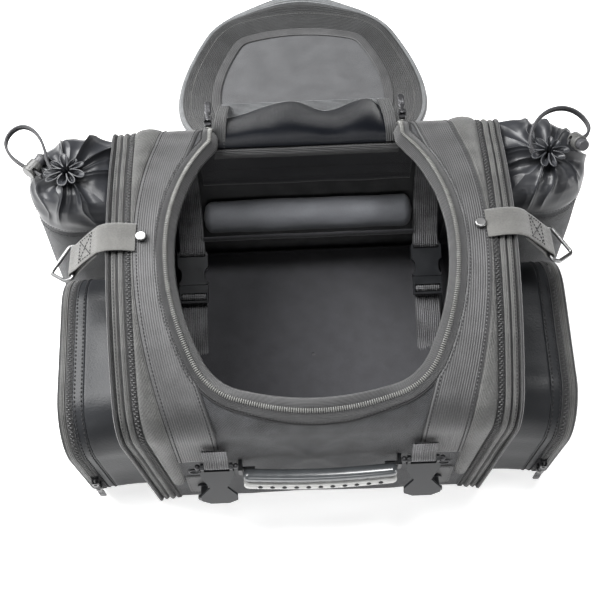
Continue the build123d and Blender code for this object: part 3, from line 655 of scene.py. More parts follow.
def opening(grow=0.0, count=240, rear=RUN_SILL):
    """The opening's edge as (x, run), from the rear right round the front to the rear left."""
    big = ARCH_RADIUS + grow
    reach = ARCH_RADIUS - ARCH_CORNER
    gap = math.hypot(ARCH_SIDE, ARCH_FRONT_Y - ARCH_MID_Y)
    base = np.array([-ARCH_SIDE, ARCH_MID_Y])
    front_mid = np.array([0, ARCH_FRONT_Y])
    toward = unit(front_mid - base)
    off = math.sqrt(reach**2 - (gap / 2) ** 2)
    corner = base + toward * gap / 2 + np.array([toward[1], -toward[0]]) * off
    side_end = base + unit(corner - base) * big
    front_end = front_mid + unit(corner - front_mid) * big
    throat = THROAT_HALF + grow
    top = ARCH_MID_Y + math.sqrt(big**2 - (throat + ARCH_SIDE) ** 2)
    a0 = math.atan2(top - ARCH_MID_Y, throat + ARCH_SIDE)
    a1 = math.atan2(side_end[1] - ARCH_MID_Y, side_end[0] + ARCH_SIDE)
    b0 = math.atan2(side_end[1] - corner[1], side_end[0] - corner[0])
    b1 = math.atan2(front_end[1] - corner[1], front_end[0] - corner[0])
    c0 = math.atan2(front_end[1] - ARCH_FRONT_Y, front_end[0])
    right = []
    for centre, radius, angles in (
        (base, big, np.linspace(a0, a1, 60)),
        (corner, ARCH_CORNER + grow, np.linspace(b0, b1, 24)[1:]),
        (front_mid, big, np.linspace(c0, -math.pi / 2, 30)[1:]),
    ):
        right += [centre + radius * np.array([math.cos(a), math.sin(a)]) for a in angles]
    half = [(throat, r) for r in np.linspace(rear, run_of_y(top) + 2, 8)]
    half += [(p[0], run_of_y(p[1])) for p in right]
    half = resample(half, count // 2 + 1)
    return np.vstack([half, (half * np.array([-1, 1]))[-2::-1]])


def opening_half(run, grow=0.0):
    """Half width of the opening at a place along the profile."""
    edge = opening(grow, 400)
    half = edge[: len(edge) // 2 + 1]
    order = np.argsort(half[:, 1])
    return float(np.interp(run, half[order, 1], half[order, 0], left=0.0))


def make_skin():
    """The body's cloth: rings out from the opening, then the front, and the rear with the base."""
    edge = opening(0.0, 240)
    sides = 70
    front = len(edge) - 2 * sides
    across = np.linspace(1, -1, front + 2)[1:-1]
    outer = [(1.0, r) for r in np.linspace(RUN_SILL, RUN_EAVE, sides)]
    outer += [(a, RUN_EAVE) for a in across]
    outer += [(-1.0, r) for r in np.linspace(RUN_EAVE, RUN_SILL, sides)]
    outer = np.array(outer)
    inner = np.stack([edge[:, 0] / side_half(edge[:, 1]), edge[:, 1]], 1)
    steps = np.linspace(0, 1, 26)
    parts = []

    def sheet_of(places):
        """Points for an n x m array of (share of half width, run)."""
        flat = places.reshape(-1, 2)
        spots = np.stack([flat[:, 0] * side_half(flat[:, 1]), flat[:, 1]], 1)
        points, _ = on_body(spots)
        shape = places.shape[:2]
        parts.append(grid(points.reshape(*shape, 3), spots.reshape(*shape, 2)))

    sheet_of(inner[:, None] * (1 - steps)[None, :, None] + outer[:, None] * steps[None, :, None])
    line = np.concatenate([[1.0], across, [-1.0]])
    runs = np.linspace(RUN_EAVE, 0.5, 60)
    sheet_of(pairs(line, runs))
    seam = inner[0, 0] * (1 - steps) + steps
    line = np.concatenate([seam[::-1], np.linspace(seam[0], -seam[0], 50)[1:-1], -seam])
    runs = np.linspace(RUN_SILL, TOTAL - 0.5, 90)
    sheet_of(pairs(line, runs))
    replaced = ("top_panel", "front_wall", "rear_wall", "base_panel")
    piece("body_skin", join(parts), nylon, "bag", replaced, "nylon", solid=-2.4, weld=True)


def ribbon(edge_a, edge_b, lift, cells=8, crown=0.0, soft=1.0):
    """A strip on the body between two (x, run) lines, standing lift above it, rounded by crown."""
    share = np.linspace(0, 1, cells + 1)
    places = edge_a[:, None] * (1 - share)[None, :, None] + edge_b[:, None] * share[None, :, None]
    rise = lift + crown * (1 - (2 * share - 1) ** 2)
    points = np.zeros((*places.shape[:2], 3))
    for i in range(places.shape[0]):
        for j in range(places.shape[1]):
            points[i, j] = body_point(places[i, j, 0], places[i, j, 1], rise[j], soft)[0]
    run = travel(points[:, 0])
    wide = np.linalg.norm(points[:, -1] - points[:, 0], axis=1)
    uv = np.stack([np.repeat(run[:, None], cells + 1, 1), wide[:, None] * share[None, :]], -1)
    return grid(points, uv)


# ---------------------------------------------------------------- main zip
COIL_PITCH = 2.05


def make_main_zip():
    """Tape, rolled edge and open coil round the opening, and painted shade along the tape's outer edge."""
    count = 420
    outer, groove, inner = opening(8.0, count), opening(7.0, count), opening(-0.5, count)
    made = join([ribbon(inner, groove, 1.0, 7, 0.9), ribbon(groove, outer, 0.2, 3, 0.5)])
    piece("main_zip_tape", made, tape_cloth, "bag", ("main_zip",), "coil_zip", solid=-0.8)
    chain = opening(-1.2, 1200)
    spots, up = on_body(chain, 1.5)
    spots = every(np.hstack([spots, up]), COIL_PITCH)
    spots, up = spots[:, :3], unit(spots[:, 3:])
    along = tangents(spots)
    across = np.cross(up, along)
    teeth = beads(spots, along, across, up, (0.78, 2.7, 1.3), 8, 5)
    piece("main_zip_coil", teeth, coil_pale, "bag", (), "coil_zip")
    # a thin dark tube in the groove along the tape's outer edge: painted shade
    spots, _ = on_body(opening(7.9, count), 0.4)
    piece("main_zip_groove_shade", tube(spots, 0.8, 6), thread_and_shade, "bag", (), "coil_zip")
    spots, up = on_body(opening(6.6, count), 1.2)
    piece("main_zip_stitches", stitches(spots, up, 3.0, 2.0, 0.35, 0.3), thread_and_shade, "bag", (), "webbing")


def make_opening_lip():
    """The soft rolled lip inside the opening, deeper and wavier at the front."""
    lip = []
    inside, deep = opening(-2.0, 420), opening(-11.0, 420)
    for k, (a, b) in enumerate(zip(inside, deep)):
        share = k / (len(inside) - 1)
        front = hump(share, 0.5, 0.2)
        row = []
        for t in np.linspace(0, 1, 7):
            reach = t * (0.75 + 0.2 * front)
            place = a * (1 - reach) + b * reach
            broad, fine = wobble(share * 900, 0, 0, 26, 7.0), wobble(share * 900, 5, 0, 9, 2.0)
            wave = broad * 2.6 * t + fine * 0.7 * t
            row.append(body_point(*place, 0.4 - 9.5 * t**1.3 + wave * (0.5 + front), 0.6)[0])
        lip.append(row)
    lip = np.array(lip)
    run = np.arange(len(lip))[:, None] * length_of(lip[:, 0]) / len(lip)
    uv = np.stack([np.repeat(run, 7, 1), np.tile(np.linspace(0, 12, 7), (len(lip), 1))], -1)
    piece("opening_lip", grid(lip, uv), binding, "bag", (), "binding", solid=1.3)


def make_main_zip_ends():
    """The free ends of the main zip, past the hinge."""
    rear = box("main_zip")[1][1]
    x = THROAT_HALF + 1.2
    ends, pips = [], []
    for sign in (1, -1):
        ys = np.linspace(150, rear, 14)
        path = np.stack([np.full(14, sign * x), ys, np.interp(ys, [150, 166], [217.8, 216.1])], 1)
        a = np.tile([1.0, 0, 0], (14, 1))
        b = np.tile([0, 0, 1.0], (14, 1))
        section = [(-3.6, 0), (-3.4, 0.8), (0, 1.1), (3.4, 0.8), (3.6, 0), (0, -0.6)]
        ends.append(sweep(path, a, b, section, closed=False, ring=True))
        spots = every(path, COIL_PITCH)
        up = np.tile([0, 0, 1.0], (len(spots), 1))
        along = tangents(spots)
        pips.append(beads(spots + up * 1.2, along, np.cross(up, along), up, (0.72, 2.3, 1.0)))
    piece("main_zip_ends", join(ends), tape_cloth, "bag", (), "coil_zip")
    piece("main_zip_end_coil", join(pips), coil_pale, "bag", (), "coil_zip")


# ---------------------------------------------------------------- webbing bands
BAND_MID = (-372.0, 30.0)
BAND_R = 538.0
BAND_WIDE = 38.0
BAND_FOOT_Z = 118.0


def band_edges(run):
    """x of a band's inner and outer edge at a distance along the profile."""
    y = float(np.interp(run, profile_run, profile[:, 0]))
    outer = BAND_MID[0] + math.sqrt(BAND_R**2 - (y - BAND_MID[1]) ** 2)
    inner = BAND_MID[0] + math.sqrt((BAND_R - BAND_WIDE) ** 2 - (y - BAND_MID[1]) ** 2)
    return inner, min(outer, side_half(run) - 0.6)


def make_bands():
    """The two webbing bands over the body, cut back at the opening, with seams and painted shade along their
    edges.
    """
    start = run_at((-151, BAND_FOOT_Z))
    stop = run_at((FOOT_REAR + 1, 30))
    runs = np.arange(start, stop, 3.0)
    rows, uv, rims = [], [], []
    cells, ribs = 60, 17
    for r in runs:
        inner, outer = band_edges(r)
        clip = opening_half(r, 7.0) if r < RUN_SILL - 6 else 0.0
        row = []
        for t in np.linspace(0, 1, cells + 1):
            x = outer + (inner - outer) * t
            rib = 0.07 * math.cos(TAU * t * ribs)
            edge = min(t, 1 - t) * BAND_WIDE
            lift = 0.5 + 1.2 * min(1.0, edge / 1.4) ** 0.5 + rib * min(1.0, edge / 3)
            lift = min(lift, 0.2) if x < clip else lift
            row.append(body_point(max(x, clip - 1.0), r, lift)[0])
        rows.append(row)
        uv.append([(r, BAND_WIDE * t) for t in np.linspace(0, 1, cells + 1)])
        rims.append((outer - 3.2, max(inner + 3.2, clip + 2.0), r))
    made = both(grid(np.array(rows), np.array(uv)))
    piece("band_webbing", made, webbing, "bag", ("webbing_bands",), "webbing", solid=-0.6)
    # thin dark tubes along both edges of each band: painted shade where the band meets the body
    edge_shades = []
    for side, shift in ((0, 3.4), (1, -3.4)):
        spots, _ = on_body([(rim[side] + shift, rim[2]) for rim in rims], 0.5)
        edge_shades.append(both(tube(spots, 0.75, 6)))
    piece("band_edge_shade", join(edge_shades), thread_and_shade, "bag", (), "webbing")
    seams = []
    for side in (0, 1):
        spots, up = on_body([(rim[side], rim[2]) for rim in rims], 1.75)
        seams.append(both(stitches(spots, up, 3.6, 2.5, 0.6, 0.15)))
    piece("band_stitches", join(seams), thread_and_shade, "bag", (), "webbing")


# ---------------------------------------------------------------- expansion folds on each side
def side_point(u, v, w):
    """A point of the right-hand side: along it, up it and out of it."""
    return np.array([SIDE_HALF, 0, 0]) + side_along * u + side_up * v + side_out * w


def around(outline, w=0.0):
    """An outline on the right-hand side as points, with its ways along the side's depth and outwards."""
    out = turned_left(tangents(outline, True))
    middle = outline.mean(0)
    if ((outline - middle) * out).sum() < 0:
        out = -out
    points = np.array([side_point(u, v, w) for u, v in outline])
    return points, np.tile(side_out, (len(points), 1)), out[:, :1] * side_along + out[:, 1:] * side_up


def arc_section(start, stop, rise, base=0.0, count=9, power=0.5):
    """A rounded rise between two places across a section."""
    t = np.linspace(0, 1, count)
    return [(start + (stop - start) * a, base + rise * (4 * a * (1 - a)) ** power) for a in t]


def above_ground(mesh_data, floor=0.3):
    """The same mesh with nothing lower than the floor."""
    points, faces, coords = mesh_data
    points = points.copy()
    points[:, 2] = np.maximum(points[:, 2], floor)
    return points, faces, coords


def make_edge_folds():
    """The soft fold that fills the top between each band and the expansion zip."""
    runs = np.arange(run_at((-151, BAND_FOOT_Z - 60)), run_at((FOOT_REAR + 1, 60)), 3.0)
    inner = np.array([(band_edges(r)[1] - 0.4, r) for r in runs])
    outer = np.array([(side_half(r) + 0.3, r) for r in runs])
    gap = outer[:, 0] - inner[:, 0]
    share = np.linspace(0, 1, 13)
    points, uv = [], []
    for (a, r), (b, _), wide in zip(inner, outer, gap):
        crown = min(4.4, 0.36 * wide)
        rise = [0.3 + crown * math.sin(math.pi * t) ** 0.6 for t in share]
        points.append([body_point(a + (b - a) * t, r, up, 0.8)[0] for t, up in zip(share, rise)])
        uv.append([(r, wide * t) for t in share])
    piece("edge_fold", both(grid(np.array(points), np.array(uv))), fold_cloth, "bag", (), "nylon")
    spots, up = on_body([(a + w * 0.3, r) for (a, r), w in zip(inner, gap)], 3.4)
    seam = both(stitches(spots, up, 3.2, 2.0, 0.3, 0.2))
    piece("edge_fold_stitches", seam, thread_grey, "bag", (), "webbing")


def coil_row(path, out, depth, kept_above=None):
    """Both sides' rows of closed zip teeth: pips set left and right by turns along a path on the side."""
    chain = resample(np.hstack([path, out]), int(length_of(path, True) / 2.1), True)
    spots, up = chain[:, :3], unit(chain[:, 3:])
    along = tangents(spots, True)
    shift = np.where(np.arange(len(spots)) % 2, 0.8, -0.8)[:, None]
    centres = spots + side_out * (depth + shift) + up * 1.5
    slant = unit(side_out + along * 0.35)
    kept = slice(None) if kept_above is None else spots[:, 2] > kept_above
    return both(beads(centres[kept], along[kept], slant[kept], up[kept], (0.75, 1.7, 0.8), 6, 4))


def make_side_stacks():
    """The layers between body and side: zip tape, two soft folds, bound rim and its bead; dark tubes paint
    shade in the valleys.
    """
    outline = side_view(0.0, 2.5)
    path, deep, out = around(outline)
    waves = wobbles(path, 60.0, 5.0)
    folds_a = [(6.0, -5.0), (6.8, -2.0), *arc_section(7.0, 12.6, 3.4, -0.6), (13.0, -4.0)]
    folds_b = [(13.4, -4.0), *arc_section(13.8, 19.0, 3.0, -0.6), (19.5, -4.0)]
    tape = [(-0.6, -2.0), (-0.3, 0.2), (0.6, 0.9), (2.9, 1.1), (5.0, 0.9), (5.8, 0.0), (6.0, -3.0)]
    rim = [(19.9, -4.0), (20.4, -0.4), *arc_section(20.6, 23.6, 1.2, -0.2), (24.0, -0.4), (24.0, -6.0)]
    bead = circle(22.2, 2.2, 1.5, 10)
    for name, section, cloth, ring, nodes, slot in (
        ("expansion_tape", tape, tape_cloth, False, ("expansion_zips",), "coil_zip"),
        ("gusset_fold_inner", folds_a, fold_cloth, False, ("expansion_gussets",), "nylon"),
        ("gusset_fold_outer", folds_b, fold_cloth, False, (), "nylon"),
        ("rim_binding", rim, fold_cloth, False, (), "binding"),
        ("rim_bead", bead, binding, True, ("rim_piping",), "binding"),
    ):
        made = sweep(path + out * (waves[:, None] * 0.7), deep, out, section, True, ring)
        piece(name, above_ground(both(made)), cloth, "bag", nodes, slot)
    # thin dark tubes sunk in the valleys between the layers: painted shade
    sunk = out * (waves[:, None] * 0.7 - 0.6)
    gaps = [both(tube(path + side_out * w + sunk, 0.85, 6, True)) for w in (6.4, 13.2, 19.75)]
    piece("stack_gap_shade", above_ground(join(gaps)), thread_and_shade, "bag", (), "nylon")
    piece("expansion_coil", coil_row(path, out, 2.9, 4), coil, "bag", (), "coil_zip")
    rows = []
    for w, lift in ((16.8, 2.05), (19.9, 0.6), (0.9, 1.0), (5.0, 1.0)):
        line = path + side_out * w + out * lift
        keep = line[:, 2] > 5
        first = int(np.argmax(keep & ~np.roll(keep, 1)))
        line, normal = np.roll(line, -first, 0), np.roll(out, -first, 0)
        count = int(keep.sum())
        rows.append(both(stitches(line[:count], normal[:count], 3.4, 2.3, 0.45, 0.1)))
    piece("stack_stitches", join(rows), thread_and_shade, "bag", (), "webbing")


def fan(outline, heights, rings, place, soft=0.0, seed=0.0):
    """A panel filled from its outline to its middle. heights(share) is its rise."""
    middle = (outline.max(0) + outline.min(0)) / 2
    shares = np.linspace(1, 0.002, rings)
    rows, uv = [], []
    for share in shares:
        flat = middle + (outline - middle) * share
        rise = heights(share)
        row = []
        for u, v in flat:
            extra = soft * wobble(u, v, seed, 34.0, seed) * min(1.0, (1 - share) * 6) if soft else 0.0
            row.append(place(u, v, rise + extra))
        rows.append(row)
        uv.append(flat)
    points = np.swapaxes(np.array(rows), 0, 1)
    flat = np.swapaxes(np.array(uv), 0, 1)
    flat = np.concatenate([flat, flat[:1]], 0)
    return grid(points, flat, wrap_i=True)


def on_side(base):
    """A placing function for fan, base out from the side's plane."""
    return lambda u, v, w: side_point(u, v, base + w)


def make_side_boards():
    """The stiff outer side panels and their linings."""
    outer = fan(side_view(-1.0, 4.0), lambda s: 0.9 * (1 - s**6), 26, on_side(STACK - 0.6), 0.5, 3.0)
    inner = fan(side_view(-3.4, 4.0), lambda s: 0.0, 20, on_side(18.6), 0.8, 8.0)
    piece("side_panel_cloth", above_ground(both(outer)), nylon_fine, "bag", ("side_boards",), "nylon")
    piece("side_panel_lining", above_ground(both(inner)), lining_black, "bag", (), "nylon")
    path, deep, out = around(side_view(-3.0, 3.0))
    section = [(-1.0, 0.0), (6, -0.8), (12, 0.2), (18.6, -0.6)]
    lining = above_ground(both(sweep(path, deep, out, section)))
    piece("gusset_lining", lining, lining_black, "bag", (), "nylon", solid=0.8)


# ---------------------------------------------------------------- side pockets and their covers
def pocket_outline(grow=0.0):
    """The side pocket's outline on its side: small corners at the foot and large ones at the top."""
    corners = [(POCKET_FRONT, POCKET_FOOT), (POCKET_FRONT, POCKET_TOP)]
    corners += [(POCKET_REAR, POCKET_TOP), (POCKET_REAR, POCKET_FOOT)]
    points = rounded(corners, [26, 48, 48, 26])
    points = resample(points, int(length_of(points, True) / 3), True)
    out = turned_left(tangents(points, True))
    if ((points - points.mean(0)) * out).sum() < 0:
        out = -out
    return points + out * grow


def make_side_pockets():
    """The box pockets' walls: a welt at the body, buckled vinyl, a stitched strip and the zip."""
    path, deep, out = around(pocket_outline(), STACK)
    welt = [(0, -1), (0.1, 2.2), *arc_section(0.3, 3.6, 1.6, 1.6, 7), (3.8, 1.2), (4.0, -0.4)]
    wall = [(3.6, -0.6), (5, -0.4), (12, -1.1), (22, -1.7), (32, -1.5), (39, -0.8), (40.4, -0.7)]
    strip = [(40.2, -1.2), (40.6, 0.2), (41.4, 0.5), (46, 0.6), (50.6, 0.5), (51.4, 0.1), (51.8, -1.6)]
    tape = [(51.2, -1.8), (51.6, 0.4), (52.4, 1.0), (55, 1.2), (57.6, 1.0), (58.3, 0.4), (58.5, -2.0)]
    buckled = wobbles(path, 45.0, 2.0) * 1.6 + wobbles(path, 19.0, 6.0) * 0.7
    for side, sign in SIDES:
        for name, section, cloth, nodes, slot in (
            ("pocket_welt", welt, vinyl, (), "vinyl"),
            ("pocket_wall", wall, vinyl, (f"side_pocket_{side}",), "vinyl"),
            ("pocket_strip", strip, vinyl, (), "vinyl"),
            ("pocket_tape", tape, tape_cloth, ("pocket_zips",), "coil_zip"),
        ):
            made = sweep(path, deep, out, section)
            solid = 0.0
            if name == "pocket_wall":
                points = made[0].reshape(len(path), len(section), 3)
                share = np.sin(np.linspace(0, math.pi, len(section)))
                points = points + out[:, None] * (buckled[:, None] * share[None])[..., None]
                made = (points.reshape(-1, 3), made[1], made[2])
                solid = -1.4
            made = above_ground(sided(made, sign))
            piece(f"{name}_{side}", made, cloth, "bag", nodes, slot, solid=solid, level=1)
    rows = []
    for depth, lift in ((6.6, -0.2), (42.6, 0.75), (49.2, 0.75)):
        rows.append(both(stitches(path + side_out * depth + out * lift, out, 4.4, 2.5, 0.85, 0.1, True)))
    piece("pocket_stitches", join(rows), thread_and_shade, "bag", (), "webbing")
    piece("pocket_coil", coil_row(path, out, 55), coil, "bag", (), "coil_zip")


# The cloth simulation that swells the covers. Lengths are in metres, but for the sewn height in millimetres
PRESSURE = 4.0
LAST_FRAME = 20
MOST_SWELL = 0.004
VOXEL = 0.005
SEWN_HEIGHT = 0.6


def swell(obj, closed, held):
    """Swell a piece as stuffed cloth: a closed copy is remeshed and simulated, and obj takes up its movement.
    closed is that copy's shape; held says which of its points, in millimetres, are sewn down."""
    bag = add_object("stuffing", mesh_of("stuffing", closed[0], closed[1]))
    remesh = bag.modifiers.new("voxels", "REMESH")
    remesh.mode = "VOXEL"
    remesh.voxel_size = VOXEL
    even = bpy.data.meshes.new_from_object(bag.evaluated_get(bpy.context.evaluated_depsgraph_get()))
    bag.modifiers.clear()
    bag.data = even
    before = np.array([v.co for v in even.vertices])
    sewn = bag.vertex_groups.new(name="sewn")
    sewn.add([int(k) for k in np.nonzero([held(q) for q in before / MM])[0]], 1.0, "REPLACE")
    cloth = bag.modifiers.new("cloth", "CLOTH")
    cloth.settings.use_pressure = True
    cloth.settings.uniform_pressure_force = PRESSURE
    cloth.settings.vertex_group_mass = "sewn"
    cloth.settings.effector_weights.gravity = 0
    cloth.settings.quality = 6
    for number in range(1, LAST_FRAME + 1):
        bpy.context.scene.frame_set(number)
    after_mesh = bag.evaluated_get(bpy.context.evaluated_depsgraph_get()).to_mesh()
    after = np.array([v.co for v in after_mesh.vertices])
    bpy.data.objects.remove(bag)
    bpy.context.scene.frame_set(1)
    tree = KDTree(len(before))
    for number, place in enumerate(before):
        tree.insert(place, number)
    tree.balance()
    for vertex in obj.data.vertices:
        near = tree.find_n(vertex.co, 5)
        weights = np.array([1 / (gap + 0.0015) for _, _, gap in near])
        moves = [w * (after[number] - before[number]) for w, (_, number, _) in zip(weights, near)]
        move = sum(moves) / weights.sum()
        far = float(np.linalg.norm(move))
        vertex.co += Vector(move * min(1.0, MOST_SWELL / far)) if far > 1e-9 else Vector()


def puffed(outline, base, rise, name, sign, cloth, body, nodes, seed):
    """A padded panel swollen by cloth simulation, sewn down all round its edge."""
    made = fan(outline, lambda share: base + rise * (1 - share**5), 34, on_side(0), 1.2, seed)
    under = fan(outline, lambda share: base - 5.0, 34, on_side(0))
    wall = np.array([[side_point(u, v, w) for w in (base - 5.0, base - 2.5, base)] for u, v in outline])
    no_uv = np.zeros((len(outline) + 1, 3, 2))
    shut = sided(join([made, under, grid(wall, no_uv, wrap_i=True)]), sign)
    obj = piece(name, above_ground(sided(made, sign)), cloth, body, nodes, "nylon", solid=-2.2 * sign)
    side_level = float(np.array(side_point(0, 0, 0)) @ side_out)

    def held(point):
        flat = np.array([sign * point[0], point[1], point[2]])
        return float(flat @ side_out) - side_level < base + SEWN_HEIGHT

    swell(obj, shut, held)
    return obj


def make_covers():
    """The covers of the side pockets: bound rim, welt, padded face and two rows of stitches."""
    path, deep, out = around(pocket_outline(0.6), COVER_START)
    rim = sweep(path, deep, out, [(0.0, -2.2), (0.1, 0.0), (0.8, 0.7), (2.6, 0.9), (4.6, 0.6), (5.0, -0.6)])
    welt = sweep(path, deep, out, circle(5.8, -0.2, 1.5, 12), True, True)
    face, rise = COVER_START + 5.6, COVER_DEEP - 4.4
    inner, deep_in, _ = around(pocket_outline(-16.0), face)
    seam = stitches(inner + side_out * (rise * (1 - 0.82**5) + 0.5), deep_in, 3.4, 2.2, 0.4, 0.2, True)
    spots, _, rows_out = around(pocket_outline(0.6), COVER_START + 2.6)
    rim_seam = stitches(spots, rows_out, 3.2, 2.0, 0.3, 1.0, True)
    for side, sign in SIDES:
        body = f"cover_{side}"
        nodes = (f"pocket_cover_{side}",)
        made = above_ground(sided(rim, sign))
        piece(f"cover_rim_{side}", made, fold_cloth, body, (), "binding", solid=-0.8, level=1)
        piece(f"cover_welt_{side}", above_ground(sided(welt, sign)), binding, body, (), "binding")
        puffed(pocket_outline(-0.8), face, rise, f"cover_pad_{side}", sign, nylon, body, nodes, 3.0 + sign)
        piece(f"cover_stitches_{side}", sided(seam, sign), thread_and_shade, body, (), "webbing")
        piece(f"cover_rim_stitches_{side}", sided(rim_seam, sign), thread_grey, body, (), "webbing")


# ---------------------------------------------------------------- bottle pockets
collar_low, collar_high = box("bottle_collar_right")
NECK = np.array([(collar_low[0] + collar_high[0]) / 2, (collar_low[1] + collar_high[1]) / 2, 219.0])
BOTTLE_R = (collar_high[1] - collar_low[1]) / 2 - 1.0
BOTTLE_TOP = collar_low[2]
SET_BACK = 9.0


def board_x(y, z):
    """x of the right-hand side board's outer face."""
    return SIDE_HALF + SPLAY * y + LEAN * z + STACK / side_out[0] + 0.4


def bottle_plan(z, count=120):
    """The pocket's outline at one height, closed along the side board."""
    inner = board_x(NECK[1], z)
    mid_y = NECK[1] + SET_BACK * min(1.0, max(0.0, z / BOTTLE_TOP))
    front = [(inner, mid_y - BOTTLE_R), (NECK[0], mid_y - BOTTLE_R)]
    angles = np.linspace(-math.pi / 2, math.pi / 2, 40)[1:-1]
    bend = [(NECK[0] + BOTTLE_R * math.cos(a), mid_y + BOTTLE_R * math.sin(a)) for a in angles]
    rear = [(NECK[0], mid_y + BOTTLE_R), (inner, mid_y + BOTTLE_R)]
    return resample(np.array(front + bend + rear), count, True)


def make_bottle_pockets():
    """The straight cloth cups for bottles, soft all round their free side, with two rows of stitches."""
    for side, sign in SIDES:
        rows, seed = [], 3.0 * sign
        low = box(f"bottle_pocket_{side}")[0][2]
        heights = np.concatenate([[low, low + 0.4], np.linspace(low + 2.5, BOTTLE_TOP + 1, 44)])
        for k, z in enumerate(heights):
            plan = bottle_plan(z)
            middle = np.array([NECK[0] - 12, NECK[1]])
            shrink = (0.0, 0.965, 1.0)[min(k, 2)]
            plan = middle + (plan - middle) * shrink
            share = (z - low) / (BOTTLE_TOP - low)
            row = []
            for x, y in plan:
                out = unit([x - middle[0], y - middle[1], 0])
                free = np.clip((x - board_x(y, z)) / 16, 0, 1)
                fold = wobble(x, y, z * 0.45, 36.0, seed) * 2.0
                fold += wobble(x, y, z * 0.2, 14.0, seed + 4) * 0.7
                fold += 1.6 * math.sin(share * math.pi) - (1.2 if share > 0.93 else 0.0)
                row.append(np.array([x, y, z]) + out * fold * free * (1 if k > 1 else 0))
            rows.append(row)
        points = np.swapaxes(np.array(rows), 0, 1)
        run = np.linspace(0, length_of(points[:, -1], True), len(points) + 1)
        made = grid(points, pairs(run, heights), wrap_i=True)
        piece(f"bottle_cloth_{side}", sided(made, sign), nylon, "bag", (f"bottle_pocket_{side}",), "nylon")
        hem_z = BOTTLE_TOP - 2
        hem = np.array([np.append(p, hem_z) for p in bottle_plan(hem_z)])
        kept = [p for p in hem if p[0] > board_x(p[1], p[2]) + 3]
        start = int(np.argmax([math.hypot(*(a - b)[:2]) for a, b in zip(kept, kept[-1:] + kept[:-1])]))
        kept = np.array(kept[start:] + kept[:start])
        out = unit(kept - np.array([NECK[0] - 12, NECK[1], hem_z]))
        line = kept + out * 1.2
        seams = [stitches(line + np.array([0, 0, dz]), out, 3.2, 2.0, 0.4, 0.2) for dz in (-9.0, 0.0)]
        piece(f"bottle_stitches_{side}", sided(join(seams), sign), thread_and_shade, "bag", (), "webbing")


